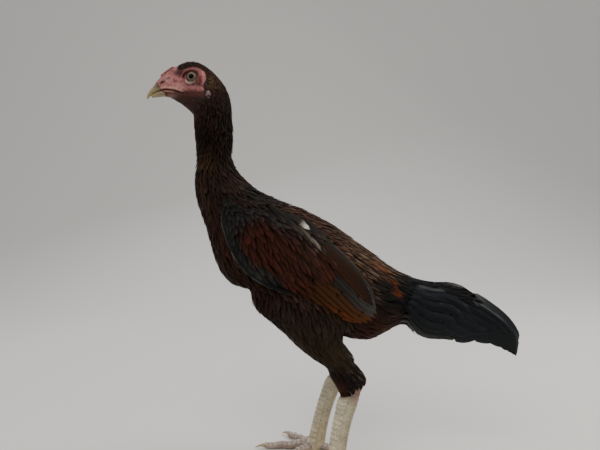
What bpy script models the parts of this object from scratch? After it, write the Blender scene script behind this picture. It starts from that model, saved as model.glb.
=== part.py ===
"""A life-size standing game hen, as a still museum model. Metres, +Z up.

The bird faces -X and its left side is -Y. The origin is on the floor, under the middle of its box.
Head, neck and torso are one lofted form, parted by thin cuts. Each row of a station table holds an
upper and a lower point of the side view, in X and Z, and the half width there.
"""

import math

import bmesh
import bpy
from mathutils import Matrix, Vector

BIRD = "australian game chicken"

# Driving sizes
GAP = 0.0003                # between pieces that touch
FLAT_ANGLE = 0.03           # radians between faces that are taken as one
SHARP_ANGLE = 0.6           # radians between faces whose edge stays sharp
EYE_RADIUS = 0.0078
EYE_PLACE = (-0.1712, 0.4966)
EYE_BULGE = 0.0014          # how far the eyeball stands out of the cheek
COMB = ((-0.2128, 0.5026), (-0.1955, 0.5130))
MOUTH = ((-0.2133, 0.4852), (-0.2040, 0.4842), (-0.1930, 0.4812), (-0.1835, 0.4772))
UPPER_LIP = ((-0.2130, 0.4872), (-0.2035, 0.4866), (-0.1925, 0.4838), (-0.1822, 0.4790))
LOWER_LIP = ((-0.2100, 0.4834), (-0.2020, 0.4822), (-0.1925, 0.4790), (-0.1840, 0.4752))
JAW_FOLD = ((-0.2000, 0.4775), (-0.1900, 0.4735), (-0.1790, 0.4690), (-0.1690, 0.4660))
EAR = (-0.1488, 0.4880)
EARLOBE = (-0.1505, 0.4750)
NOSTRIL = (-0.2112, 0.4934)
COMB_BULB = 0.0038
COMB_ROW = 0.0044
COMB_DROP = 0.0013
LID_RADIUS = 0.0077
LID_BAR = 0.0019
BROW_BAR = 0.0024
LIP_BAR = 0.0022
JAW_BAR = 0.0030
FOLD_SINK = 0.55            # share of a fold's radius that its middle lies under the skin
MOUTH_CUT = 0.0009
LEG_SPREAD = 0.038          # from the midline to each leg
SIDES = (("left", -1), ("right", 1))

# Upper point, lower point, half width, from the bill's root over the head, neck and back to the tail
TRUNK = [
    ((-0.2195, 0.4990), (-0.2100, 0.4783), 0.0072),   # root of the bill
    ((-0.2140, 0.5028), (-0.2045, 0.4770), 0.0098),   # nostrils
    ((-0.2045, 0.5090), (-0.2005, 0.4748), 0.0125),   # forehead
    ((-0.1885, 0.5180), (-0.1960, 0.4718), 0.0155),   # brow
    ((-0.1730, 0.5212), (-0.1905, 0.4685), 0.0175),   # eyes
    ((-0.1580, 0.5155), (-0.1855, 0.4642), 0.0188),   # ears
    ((-0.1440, 0.5030), (-0.1800, 0.4595), 0.0192),   # back of the skull
    ((-0.1330, 0.4880), (-0.1765, 0.4555), 0.0190),   # nape
    ((-0.1268, 0.4700), (-0.1745, 0.4500), 0.0190),   # top of the neck
    ((-0.1255, 0.4470), (-0.1735, 0.4380), 0.0190),
    ((-0.1250, 0.4200), (-0.1725, 0.4150), 0.0185),
    ((-0.1275, 0.3990), (-0.1725, 0.3920), 0.0187),   # slimmest part of the neck
    ((-0.1225, 0.3830), (-0.1755, 0.3710), 0.0210),
    ((-0.1125, 0.3690), (-0.1745, 0.3500), 0.0255),
    ((-0.0985, 0.3560), (-0.1695, 0.3280), 0.0315),   # root of the neck
    ((-0.0825, 0.3460), (-0.1615, 0.3040), 0.0385),
    ((-0.0645, 0.3380), (-0.1560, 0.2760), 0.0445),   # breast
    ((-0.0445, 0.3300), (-0.1440, 0.2480), 0.0490),
    ((-0.0225, 0.3190), (-0.1170, 0.2290), 0.0515),
    ((-0.0005, 0.3060), (-0.0785, 0.2060), 0.0520),   # middle of the back
    ((0.0235, 0.2880), (-0.0385, 0.1830), 0.0505),
    ((0.0465, 0.2700), (0.0015, 0.1640), 0.0465),
    ((0.0675, 0.2530), (0.0375, 0.1570), 0.0400),     # vent
    ((0.0855, 0.2415), (0.0655, 0.1680), 0.0310),
    ((0.0995, 0.2350), (0.0835, 0.1800), 0.0230),     # root of the tail
]
HEAD_END = 8.0              # station where the head is parted from the neck
NECK_END = 14.0             # station where the neck is parted from the torso
TORSO_END = 23.6            # station where the torso is parted from the tail
EGG = 0.10                  # how much the upper half of a section is fuller than the lower

# Tail: upper line, lower line and half width, from the rump to the tip of the longest feathers
TAIL = [
    ((0.0855, 0.2415), (0.0655, 0.1680), 0.0310),
    ((0.0995, 0.2350), (0.0835, 0.1750), 0.0235),
    ((0.1225, 0.2275), (0.1060, 0.1600), 0.0210),
    ((0.1485, 0.2230), (0.1325, 0.1590), 0.0180),
    ((0.1735, 0.2100), (0.1525, 0.1550), 0.0150),
    ((0.1985, 0.1930), (0.1775, 0.1530), 0.0120),
    ((0.2185, 0.1760), (0.1985, 0.1480), 0.0090),
    ((0.2315, 0.1580), (0.2120, 0.1395), 0.0060),
    ((0.2320, 0.1420), (0.2200, 0.1340), 0.0035),
    ((0.2285, 0.1290), (0.2260, 0.1280), 0.0010),
]
RUMP = [0.0, 0.5, 1.0, 1.6, 2.3, 3.0, 3.5]      # stations of the fleshy rump
RUMP_SIZE = [1.0, 1.0, 0.94, 0.86, 0.74, 0.55, 0.25]
# Tail feathers of one side, from the ridge down: share of the tail's depth at mid length, tip's
# station and its share of the depth
RECTRICES = [
    (0.15, 9.00, 0.50),
    (0.33, 8.35, 0.78),
    (0.51, 7.40, 0.88),
    (0.68, 6.30, 0.93),
    (0.84, 5.10, 0.95),
]
TAIL_COVERTS = [
    (0.12, 5.40, 0.16),
    (0.40, 4.50, 0.46),
    (0.68, 3.70, 0.72),
]

# Bill: upper line, lower line and half width of each half, from its root to its tip
BILL_UPPER = [
    ((-0.2180, 0.5010), (-0.2110, 0.4862), 0.0074),
    ((-0.2222, 0.4952), (-0.2160, 0.4852), 0.0064),
    ((-0.2255, 0.4912), (-0.2200, 0.4838), 0.0052),
    ((-0.2290, 0.4875), (-0.2245, 0.4822), 0.0039),
    ((-0.2322, 0.4830), (-0.2288, 0.4800), 0.0026),
    ((-0.2338, 0.4780), (-0.2318, 0.4765), 0.0014),
    ((-0.2334, 0.4752), (-0.2326, 0.4750), 0.0006),
]
BILL_LOWER = [
    ((-0.2095, 0.4850), (-0.2075, 0.4786), 0.0064),
    ((-0.2160, 0.4841), (-0.2140, 0.4781), 0.0056),
    ((-0.2200, 0.4827), (-0.2185, 0.4777), 0.0046),
    ((-0.2240, 0.4811), (-0.2230, 0.4773), 0.0034),
    ((-0.2280, 0.4790), (-0.2275, 0.4768), 0.0016),
]

# Wing. A place on it is a length along the line from shoulder to tip and a height across that line
WING_SHOULDER = (-0.1305, 0.3180)
WING_TIP = (0.0465, 0.1880)
WING_CROWN = (0.100, 0.008, 0.0524)     # along, across and distance from the midline of its widest place
WING_BEND = (1.4, 0.9, 6.2, 8.8)        # how fast it falls away to the front, rear, below and above
WING_THICKNESS = [                      # along, how far the outermost feathers stand off the flank
    (-0.008, 0.0030),
    (0.010, 0.0070),
    (0.030, 0.0094),
    (0.055, 0.0100),
    (0.080, 0.0094),
    (0.105, 0.0082),
    (0.130, 0.0068),
    (0.155, 0.0056),
    (0.185, 0.0046),
    (0.220, 0.0040),
]
ARM = [                                 # along, lower edge, upper edge of the fleshy arm
    (-0.006, 0.006, 0.014),
    (0.006, -0.009, 0.029),
    (0.022, -0.020, 0.038),
    (0.045, -0.030, 0.040),
    (0.068, -0.031, 0.040),
    (0.088, -0.022, 0.036),
    (0.103, -0.006, 0.028),
]
ARM_SINK = 0.0018                       # how far the arm lies under the outermost feathers
VANE_THICKNESS = 0.0008
TAIL_ROLL = 0.20                        # slope of each tail feather over the one below
FLIGHT_ROLL = 0.20
FLIGHT_WIDTH = 0.0200
FLIGHT_ROOTS = ((0.034, -0.016), (0.092, 0.036))
FLIGHT_TIPS = [(0.160, -0.0215), (0.178, -0.0205), (0.193, -0.0180), (0.204, -0.0135), (0.211, -0.0075),
               (0.214, -0.0005), (0.213, 0.0070), (0.208, 0.0140)]
# Coverts from the greater ones to the shoulder: number, lower tip, upper tip, how far the lowest
# and the highest turn up, length, width
COVERTS = [
    (5, (0.130, -0.0200), (0.150, 0.0300), -0.10, -0.25, 0.048, 0.0205),
    (5, (0.103, -0.0245), (0.124, 0.0385), -0.15, -0.15, 0.042, 0.0210),
    (4, (0.078, -0.0285), (0.098, 0.0375), -0.30, 0.00, 0.036, 0.0250),
    (4, (0.055, -0.0275), (0.072, 0.0350), -0.50, 0.15, 0.031, 0.0240),
    (3, (0.035, -0.0180), (0.049, 0.0300), -0.70, 0.35, 0.025, 0.0265),
    (3, (0.018, -0.0045), (0.027, 0.0230), -0.80, 0.60, 0.017, 0.0180),
]
COVERT_SLANT = -0.45                    # how far the middle ones turn up

# Feathered thigh: rear point, front point, half width, distance of its middle from the midline
THIGH = [
    ((0.0120, 0.2450), (-0.1080, 0.2400), 0.0150, 0.0260),
    ((0.0160, 0.2150), (-0.1135, 0.2150), 0.0200, 0.0300),
    ((0.0150, 0.1880), (-0.0940, 0.2000), 0.0220, 0.0330),
    ((0.0050, 0.1680), (-0.0730, 0.1830), 0.0225, 0.0350),
    ((0.0080, 0.1530), (-0.0530, 0.1630), 0.0205, 0.0365),
    ((0.0170, 0.1390), (-0.0340, 0.1465), 0.0175, 0.0375),
    ((0.0270, 0.1270), (-0.0175, 0.1350), 0.0150, 0.0380),
    ((0.0312, 0.1170), (-0.0120, 0.1215), 0.0130, 0.0380),
    ((0.0285, 0.1110), (-0.0045, 0.1080), 0.0115, 0.0380),
    ((0.0255, 0.1055), (0.0005, 0.0955), 0.0100, 0.0380),   # hock
]
STRIDE = {"left": 0.0, "right": -0.0090}    # how far forward each hock stands of the left one

# Shank: share of the way from the hock to the sole, half depth, half width
SHANK = [
    (0.00, 0.0130, 0.0098),
    (0.10, 0.0120, 0.0092),
    (0.24, 0.0104, 0.0076),
    (0.45, 0.0098, 0.0068),
    (0.68, 0.0098, 0.0070),
    (0.84, 0.0104, 0.0086),
    (0.93, 0.0112, 0.0100),
    (1.00, 0.0098, 0.0088),
]
ANKLE_X = {"left": -0.0120, "right": -0.0335}
SHANK_PLATES = 11
SHANK_PLATED = (0.04, 0.86)             # shares between which the plates lie
ANKLE_SHARES = (0.87, 0.91, 0.95, 0.98, 1.0)
SHANK_BOW = 0.0035                      # how far the middle of the shank bows forward
SHANK_FRONT = Vector((-0.95, 0.0, 0.29))
PLATE_RAISE = 0.0007

# Toes: length to the claw, angle outwards from straight ahead, radius at the root, number of
# plates, number of pads below
TOES = {
    "middle": (0.0690, 4.0, 0.0066, 9, 3),
    "inner": (0.0500, -36.0, 0.0061, 6, 2),
    "outer": (0.0530, 46.0, 0.0061, 7, 4),
    "hind": (0.0290, -158.0, 0.0052, 4, 1),
}
TOE_START = 0.004
TOE_PLATE_RAISE = 0.0005
TOE_RISE = 0.0035           # how far the root of a toe is lifted to meet the shank
HIND_RISE = 0.006
CLAW_LENGTH = 0.0130
CLAW_RADIUS = 0.0029
PAD_SINK = 0.0007           # how much of each pad is pressed flat on the floor


def clear_scene():
    for obj in list(bpy.data.objects):
        bpy.data.objects.remove(obj)
    bird = bpy.data.collections.new(BIRD)
    bpy.context.scene.collection.children.link(bird)


def material(name, colour, roughness, metallic=0.0):
    made = bpy.data.materials.new(name)
    made.use_nodes = True
    shader = made.node_tree.nodes["Principled BSDF"]
    shader.inputs["Base Color"].default_value = (*colour, 1.0)
    shader.inputs["Roughness"].default_value = roughness
    shader.inputs["Metallic"].default_value = metallic
    made.diffuse_color = (*colour, 1.0)
    return made


def mixed(a, b, share):
    return a + (b - a) * share


def spline(values, t):
    """Value at t of a smooth curve through values, which may be numbers or vectors."""
    last = len(values) - 1
    t = min(max(t, 0.0), float(last))
    i = min(int(t), last - 1)
    u = t - i
    p1, p2 = values[i], values[i + 1]
    p0 = values[i - 1] if i > 0 else p1 * 2 - p2
    p3 = values[i + 2] if i + 2 <= last else p2 * 2 - p1
    return 0.5 * (
        p1 * 2
        + (p2 - p0) * u
        + (p0 * 2 - p1 * 5 + p2 * 4 - p3) * (u * u)
        + (p1 * 3 - p0 - p2 * 3 + p3) * (u ** 3)
    )


def between(table, key, column):
    """Value of a column where the first column of the table reaches key."""
    for first, second in zip(table, table[1:]):
        if key <= second[0]:
            share = (key - first[0]) / (second[0] - first[0])
            return mixed(first[column], second[column], max(share, 0.0))
    return table[-1][column]


def side_points(table):
    upper = [Vector((row[0][0], 0.0, row[0][1])) for row in table]
    lower = [Vector((row[1][0], 0.0, row[1][1])) for row in table]
    return upper, lower


def section(upper, lower, half_width, sides, egg=EGG, middle=0.0):
    """Ring of points between an upper and a lower point, fuller above where egg is positive."""
    ring = []
    for k in range(sides):
        angle = 2 * math.pi * k / sides
        share = (1 - math.cos(angle)) / 2
        across = half_width * math.sin(angle) * (1 + egg * math.cos(angle))
        ring.append(upper.lerp(lower, share) + Vector((0.0, middle + across, 0.0)))
    return ring


def table_ring(table, t, sides, egg=EGG):
    upper, lower = side_points(table)
    width = spline([row[2] for row in table], t)
    return section(spline(upper, t), spline(lower, t), width, sides, egg)


def link(name, bm, finish=None):
    bmesh.ops.recalc_face_normals(bm, faces=bm.faces)
    mesh = bpy.data.meshes.new(name)
    bm.to_mesh(mesh)
    bm.free()
    obj = bpy.data.objects.new(name, mesh)
    bpy.data.collections[BIRD].objects.link(obj)
    if finish is not None:
        mesh.materials.append(finish)
    return obj


def loft(name, rings, finish=None, closed=False):
    """Closed form through rings of like points, with flat ends, or a hoop when closed."""
    bm = bmesh.new()
    rows = [[bm.verts.new(point) for point in ring] for ring in rings]
    sides = len(rows[0])
    for first, second in zip(rows, rows[1:] + rows[:1] if closed else rows[1:]):
        for k in range(sides):
            n = (k + 1) % sides
            bm.faces.new((first[k], first[n], second[n], second[k]))
    if not closed:
        bm.faces.new(rows[0])
        bm.faces.new(rows[-1])
    bmesh.ops.triangulate(bm, faces=[f for f in bm.faces if len(f.verts) > 4])
    return link(name, bm, finish)


def table_loft(name, table, start, end, rings, sides, finish, egg=EGG):
    steps = [mixed(start, end, i / (rings - 1)) for i in range(rings)]
    return loft(name, [table_ring(table, t, sides, egg) for t in steps], finish)


def cut_plane(t):
    """Middle and rearward normal of the flat cut through the trunk at station t."""
    upper, lower = side_points(TRUNK)
    high, low = spline(upper, t), spline(lower, t)
    normal = (high - low).normalized().cross(Vector((0.0, 1.0, 0.0)))
    ahead = (spline(upper, t + 0.1) + spline(lower, t + 0.1)) / 2
    middle = (high + low) / 2
    if normal.dot(ahead - middle) < 0:
        normal.negate()
    return middle, normal


def keep_before(obj, t):
    middle, normal = cut_plane(t)
    trim(obj, middle - normal * GAP / 2, normal)


def keep_after(obj, t):
    middle, normal = cut_plane(t)
    trim(obj, middle + normal * GAP / 2, -normal)


def trim(obj, point, normal):
    """Removes what lies on the side that normal points to, and closes the cut."""
    bm = bmesh.new()
    bm.from_mesh(obj.data)
    everything = list(bm.verts) + list(bm.edges) + list(bm.faces)
    cut = bmesh.ops.bisect_plane(
        bm, geom=everything, dist=1e-7, plane_co=point, plane_no=normal, clear_outer=True
    )
    edges = [e for e in cut["geom_cut"] if isinstance(e, bmesh.types.BMEdge)]
    bmesh.ops.holes_fill(bm, edges=edges, sides=0)
    bmesh.ops.triangulate(bm, faces=[f for f in bm.faces if len(f.verts) > 4])
    bmesh.ops.recalc_face_normals(bm, faces=bm.faces)
    bm.to_mesh(obj.data)
    bm.free()


def applied(obj):
    """Replaces the object's mesh by what its modifiers make of it."""
    graph = bpy.context.evaluated_depsgraph_get()
    made = bpy.data.meshes.new_from_object(obj.evaluated_get(graph))
    obj.modifiers.clear()
    old = obj.data
    obj.data = made
    bpy.data.meshes.remove(old)


def largest(obj):
    """Keeps only the largest closed surface of the object."""
    bm = bmesh.new()
    bm.from_mesh(obj.data)
    bmesh.ops.remove_doubles(bm, verts=bm.verts, dist=1e-7)
    left = set(bm.faces)
    groups = []
    while left:
        stack = [left.pop()]
        group = [stack[0]]
        while stack:
            face = stack.pop()
            for edge in face.edges:
                for other in edge.link_faces:
                    if other in left:
                        left.remove(other)
                        stack.append(other)
                        group.append(other)
        groups.append(group)
    groups.sort(key=lambda g: sum(f.calc_area() for f in g))
    spare = [f for group in groups[:-1] for f in group]
    bmesh.ops.delete(bm, geom=spare, context="FACES")
    bm.to_mesh(obj.data)
    bm.free()


def smooth(obj):
    """Round shading, with the edges of feathers and plates kept sharp."""
    obj.data.shade_smooth()
    obj.data.set_sharp_from_angle(angle=SHARP_ANGLE)


def merged(obj, angle=FLAT_ANGLE):
    """Joins faces of obj that lie flat with one another, then makes triangles again."""
    bm = bmesh.new()
    bm.from_mesh(obj.data)
    bmesh.ops.remove_doubles(bm, verts=bm.verts, dist=0.00001)
    bmesh.ops.dissolve_limit(bm, angle_limit=angle, verts=bm.verts, edges=bm.edges)
    bmesh.ops.triangulate(bm, faces=bm.faces)
    bm.to_mesh(obj.data)
    bm.free()


def boolean(obj, others, operation, solver="EXACT"):
    """Joins or cuts obj with others in one step, then removes them."""
    group = bpy.data.collections.new("tools for " + obj.name)
    bpy.context.scene.collection.children.link(group)
    for other in others:
        for collection in list(other.users_collection):
            collection.objects.unlink(other)
        group.objects.link(other)
    step = obj.modifiers.new(operation.title(), "BOOLEAN")
    step.operation = operation
    step.operand_type = "COLLECTION"
    step.collection = group
    step.solver = solver
    bpy.context.view_layer.update()
    applied(obj)
    for other in others:
        bpy.data.objects.remove(other)
    bpy.data.collections.remove(group)
    largest(obj)


def grown(obj, by=GAP):
    """Copy of obj with its surface moved out, for cutting a neighbour clear of it."""
    bm = bmesh.new()
    bm.from_mesh(obj.data)
    bm.normal_update()
    moved = [vert.co + vert.normal * by for vert in bm.verts]
    for vert, place in zip(bm.verts, moved):
        vert.co = place
    return link(obj.name + " grown", bm)


def ball(name, centre, radii, segments=12, rings=8, turn=0.0):
    """Ellipsoid, turned about Y."""
    bm = bmesh.new()
    bmesh.ops.create_uvsphere(bm, u_segments=segments, v_segments=rings, radius=1.0)
    shape = Matrix.Diagonal((*radii, 1.0))
    place = Matrix.Translation(centre) @ Matrix.Rotation(turn, 4, "Y")
    bmesh.ops.transform(bm, matrix=place @ shape, verts=bm.verts)
    return link(name, bm)


def flank(x, z, first, last):
    """Half width of the trunk at a point of the side view, between two stations."""
    upper, lower = side_points(TRUNK)
    point = Vector((x, 0.0, z))

    def beyond(t):
        high = spline(upper, t)
        line = spline(lower, t) - high
        return line.x * (z - high.z) - line.z * (x - high.x)

    low, high = float(first), float(last)
    sign = beyond(low) > 0
    for _ in range(30):
        mid = (low + high) / 2
        if (beyond(mid) > 0) == sign:
            low = mid
        else:
            high = mid
    top, bottom = spline(upper, low), spline(lower, low)
    share = (point - top).dot(bottom - top) / (bottom - top).length_squared
    share = min(max(share, 0.004), 0.996)
    cosine = 1 - 2 * share
    width = spline([row[2] for row in TRUNK], low)
    return width * math.sqrt(1 - cosine * cosine) * (1 + EGG * cosine)


def wing_place(along, across):
    """Point of the side view from a length along the wing and a height across it."""
    run = (Vector(WING_TIP) - Vector(WING_SHOULDER)).normalized()
    return (
        WING_SHOULDER[0] + run.x * along - run.y * across,
        WING_SHOULDER[1] + run.y * along + run.x * across,
    )


def on_wing(side, along, across, lift):
    """Point of the wing at a lift off the flank that it lies on."""
    crown_along, crown_across, widest = WING_CROWN
    front, rear, below, above = WING_BEND
    bend = front if along < crown_along else rear
    fall = below if across < crown_across else above
    y = widest - bend * (along - crown_along) ** 2 - fall * (across - crown_across) ** 2
    x, z = wing_place(along, across)
    y = max(y, flank(x, z, 11, len(TRUNK) - 1) + GAP)
    return Vector((x, side * (y + lift), z))


def sheet(name, outer, inner):
    """Closed thin form between two like grids of points, split into triangles alike on both."""
    bm = bmesh.new()
    top = [[bm.verts.new(point) for point in row] for row in outer]
    under = [[bm.verts.new(point) for point in row] for row in inner]
    rows, columns = len(top), len(top[0])
    for j in range(rows - 1):
        for k in range(columns - 1):
            for grid in (top, under):
                a, b = grid[j][k], grid[j][k + 1]
                c, d = grid[j + 1][k + 1], grid[j + 1][k]
                bm.faces.new((a, b, c))
                bm.faces.new((a, c, d))
    rim = [(0, k) for k in range(columns)] + [(j, columns - 1) for j in range(1, rows)]
    rim += [(rows - 1, k) for k in range(columns - 2, -1, -1)] + [(j, 0) for j in range(rows - 2, 0, -1)]
    for (j, k), (m, n) in zip(rim, rim[1:] + rim[:1]):
        bm.faces.new((top[j][k], top[m][n], under[m][n]))
        bm.faces.new((top[j][k], under[m][n], under[j][k]))
    return link(name, bm)


def vane_shape(share, blunt=0.22):
    """Half width of a feather along its length, as a share of its widest half width."""
    root = 0.45 + 0.55 * min(share / 0.4, 1.0) ** 0.8
    tip = math.sqrt(max(1 - (max(share - (1 - blunt), 0.0) / blunt) ** 2.2, 0.0))
    return root * max(tip, 0.42)


def vane(name, place, root, tip, bend, width, lift, roll, steps, across):
    """Feather from root to tip. place turns two surface coordinates and a lift into a point."""
    start, end = Vector(root), Vector(tip)
    run = end - start
    side_on = Vector((-run.y, run.x)).normalized()
    outer, inner = [], []
    for j in range(steps):
        share = 1 - (1 - j / (steps - 1)) ** 1.5
        middle = start + run * share + side_on * bend * run.length * 4 * share * (1 - share)
        half = width / 2 * vane_shape(share)
        top_row, under_row = [], []
        for k in range(across):
            out = (2 * k / (across - 1) - 1) * half
            point = middle + side_on * out
            height = lift(share, point) - roll * out
            top_row.append(place(point.x, point.y, height + VANE_THICKNESS / 2))
            under_row.append(place(point.x, point.y, height - VANE_THICKNESS / 2))
        outer.append(top_row)
        inner.append(under_row)
    return sheet(name, outer, inner)


def wing_thickness(along):
    return between(WING_THICKNESS, along, 1)


def arm(name, side, rings=9, across_steps=6, sunk=0.006):
    """Flesh of the folded wing, from which its feathers grow."""
    made = []
    for i in range(rings):
        t = (len(ARM) - 1) * i / (rings - 1)
        along, low, high = (spline([row[c] for row in ARM], t) for c in range(3))
        top = max(wing_thickness(along) - ARM_SINK, 0.0012)
        top *= 1 - 0.75 * max((along - 0.060) / 0.043, 0.0) ** 1.5
        outer, inner = [], []
        for k in range(across_steps + 1):
            share = k / across_steps
            across = mixed(low, high, share)
            edge = max(math.sin(math.pi * share), 0.0) ** 0.6
            outer.append(on_wing(side, along, across, top * edge))
            inner.append(on_wing(side, along, across, -sunk))
        made.append(outer + inner[::-1])
    return loft(name, made)


def wing(name, side, torso, thigh, finish):
    """Folded wing: flight feathers, then coverts in tiers that end at the shoulder."""

    def place(along, across, lift):
        return on_wing(side, along, across, lift)

    made = arm("wing_" + name, side)
    made.data.materials.append(finish)
    feathers = []
    last = len(FLIGHT_TIPS) - 1
    for i, tip in enumerate(FLIGHT_TIPS):
        root = Vector(FLIGHT_ROOTS[0]).lerp(Vector(FLIGHT_ROOTS[1]), i / last)

        def lift(s, point, i=i):
            return mixed(0.0026, 0.0018 + 0.0003 * i, s)

        bend = mixed(-0.050, 0.045, i / last)
        feathers.append(vane("flight", place, root, tip, bend, FLIGHT_WIDTH, lift, FLIGHT_ROLL, 5, 3))
    for count, low, high, low_slant, high_slant, length, width in COVERTS:
        for i in range(count):
            share = i / (count - 1)
            tip = Vector(low).lerp(Vector(high), share)
            slant = spline([low_slant, COVERT_SLANT, high_slant], 2 * share)
            root = tip - Vector((math.cos(slant), math.sin(slant))) * length

            def lift(s, point, root=root, tip=tip):
                start = wing_thickness(root[0]) - 0.0036
                end = wing_thickness(tip[0]) - 0.0002
                return mixed(start, end, s)

            feathers.append(vane("covert", place, root, tip, 0.02, width, lift, 0.08, 4, 3))
    boolean(made, feathers, "UNION", "MANIFOLD")
    boolean(made, [grown(torso), grown(thigh)], "DIFFERENCE", "MANIFOLD")
    merged(made)
    return made


def tail_place(side):
    """Function from a station, a share of the depth and a lift to a point of the tented tail."""
    upper, lower = side_points(TAIL)
    widths = [row[2] for row in TAIL]

    def place(station, share, lift):
        high, low = spline(upper, station), spline(lower, station)
        tent = 0.0010 + 0.88 * spline(widths, station) * math.sin(0.68 * math.pi * min(max(share, 0.0), 1.1)) ** 0.8
        point = high.lerp(low, share)
        point.y = side * (tent + lift)
        return point

    return place


def tail_vane(side, index, mid_share, tip_station, tip_share, width, stand_off, steps, across):
    """Tail feather whose width is a real size, though the tail's depth changes along it."""
    place = tail_place(side)
    upper, lower = side_points(TAIL)
    root_station, root_share = 0.9, mixed(0.30, 0.62, mid_share)
    outer, inner = [], []
    for j in range(steps):
        s = 1 - (1 - j / (steps - 1)) ** 1.4
        station = mixed(root_station, tip_station, s)
        middle = (1 - s) ** 2 * root_share + 2 * s * (1 - s) * (mid_share * 2 - 0.5 * (root_share + tip_share))
        middle += s * s * tip_share
        depth = (spline(upper, station) - spline(lower, station)).length
        half = width / 2 * vane_shape(s, 0.30) / max(depth, 0.006) * min(0.5 + 2 * s, 1.0)
        top_row, under_row = [], []
        for k in range(across):
            out = 2 * k / (across - 1) - 1
            share = middle + out * half
            lift = stand_off + TAIL_ROLL * out * half * depth - 0.0003 * index * s
            lift -= 0.005 * max(1 - s / 0.3, 0.0)
            top_row.append(place(station, share, lift + VANE_THICKNESS))
            under_row.append(place(station, share, lift))
        outer.append(top_row)
        inner.append(under_row)
    return sheet("tail feather", outer, inner)


def tail(finish):
    """Rump, tented tail feathers in pairs and the coverts over their roots."""
    upper, lower = side_points(TAIL)
    widths = [row[2] for row in TAIL]
    rings = []
    for station, size in zip(RUMP, RUMP_SIZE):
        high, low = spline(upper, station), spline(lower, station)
        middle = high.lerp(low, 0.5)
        rings.append(
            section(
                middle + (high - middle) * size, middle + (low - middle) * size,
                spline(widths, station) * size, 14,
            )
        )
    made = loft("tail", rings, finish)
    feathers = []
    for _, side in SIDES:
        for index, (mid_share, tip_station, tip_share) in enumerate(RECTRICES):
            feathers.append(
                tail_vane(side, index, mid_share, tip_station, tip_share, 0.0230, 0.0022, 6, 3)
            )
        for mid_share, tip_station, tip_share in TAIL_COVERTS:
            feathers.append(
                tail_vane(side, 0, mid_share, tip_station, tip_share, 0.0210, 0.0050, 5, 2)
            )
    boolean(made, feathers, "UNION", "MANIFOLD")
    keep_after(made, TORSO_END)
    merged(made)
    return made


def on_face(side, x, z, out=0.0):
    return Vector((x, side * (flank(x, z, 0, HEAD_END) + out), z))


def bar(name, points, radii, closed=False, sides=4):
    """Round fold along points, or a hoop through them."""
    rings = []
    last = len(points) - 1
    for i, point in enumerate(points):
        if closed:
            along = (points[(i + 1) % len(points)] - points[i - 1]).normalized()
        else:
            along = (points[min(i + 1, last)] - points[max(i - 1, 0)]).normalized()
        side_on = along.cross(Vector((0.0, 1.0, 0.0))).normalized()
        up = side_on.cross(along)
        ring = []
        for k in range(sides):
            angle = 2 * math.pi * k / sides
            ring.append(point + (side_on * math.cos(angle) + up * math.sin(angle)) * radii[i])
        rings.append(ring)
    return loft(name, rings, closed=closed)


def fold(side, places, radius, steps=5):
    """Fold of skin on the face through places of the side view, thinning to its ends."""
    spread = []
    radii = []
    for i in range(steps):
        share = i / (steps - 1)
        size = radius * (0.45 + 0.55 * math.sin(math.pi * share))
        x, z = spline([Vector(place) for place in places], (len(places) - 1) * share)
        spread.append(on_face(side, x, z, -size * FOLD_SINK))
        radii.append(size)
    return bar("fold", spread, radii)


def ringed(side, first, last, count, radius):
    """Places in the side view on an arc round the eye."""
    x, z = EYE_PLACE
    places = []
    for i in range(count):
        angle = math.radians(mixed(first, last, i / (count - 1)))
        places.append((x + radius * 1.06 * math.cos(angle), z + radius * math.sin(angle)))
    return places


def lid(side):
    """Thick rim round the eye's opening."""
    places = ringed(side, 0, 330, 12, LID_RADIUS)
    points = [on_face(side, x, z, -LID_BAR * 0.35) for x, z in places]
    return bar("lid", points, [LID_BAR] * len(points), closed=True)


def comb():
    """Low pea comb: three rows of bulbs that grow out of the forehead and into one another."""
    made = []
    for row, count in ((-1, 4), (0, 5), (1, 4)):
        for i in range(count):
            share = i / (count - 1)
            x = mixed(COMB[0][0], COMB[1][0], share)
            z = mixed(COMB[0][1], COMB[1][1], share) + 0.0014 * math.sin(math.pi * share)
            z -= COMB_DROP * abs(row)
            wide = COMB_BULB * (0.8 + 0.3 * math.sin(math.pi * share)) * (1 - 0.12 * abs(row))
            made.append(ball("bulb", Vector((x, row * COMB_ROW, z)), (wide * 1.05, wide, wide * 1.1), 6, 4))
    return made


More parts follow.
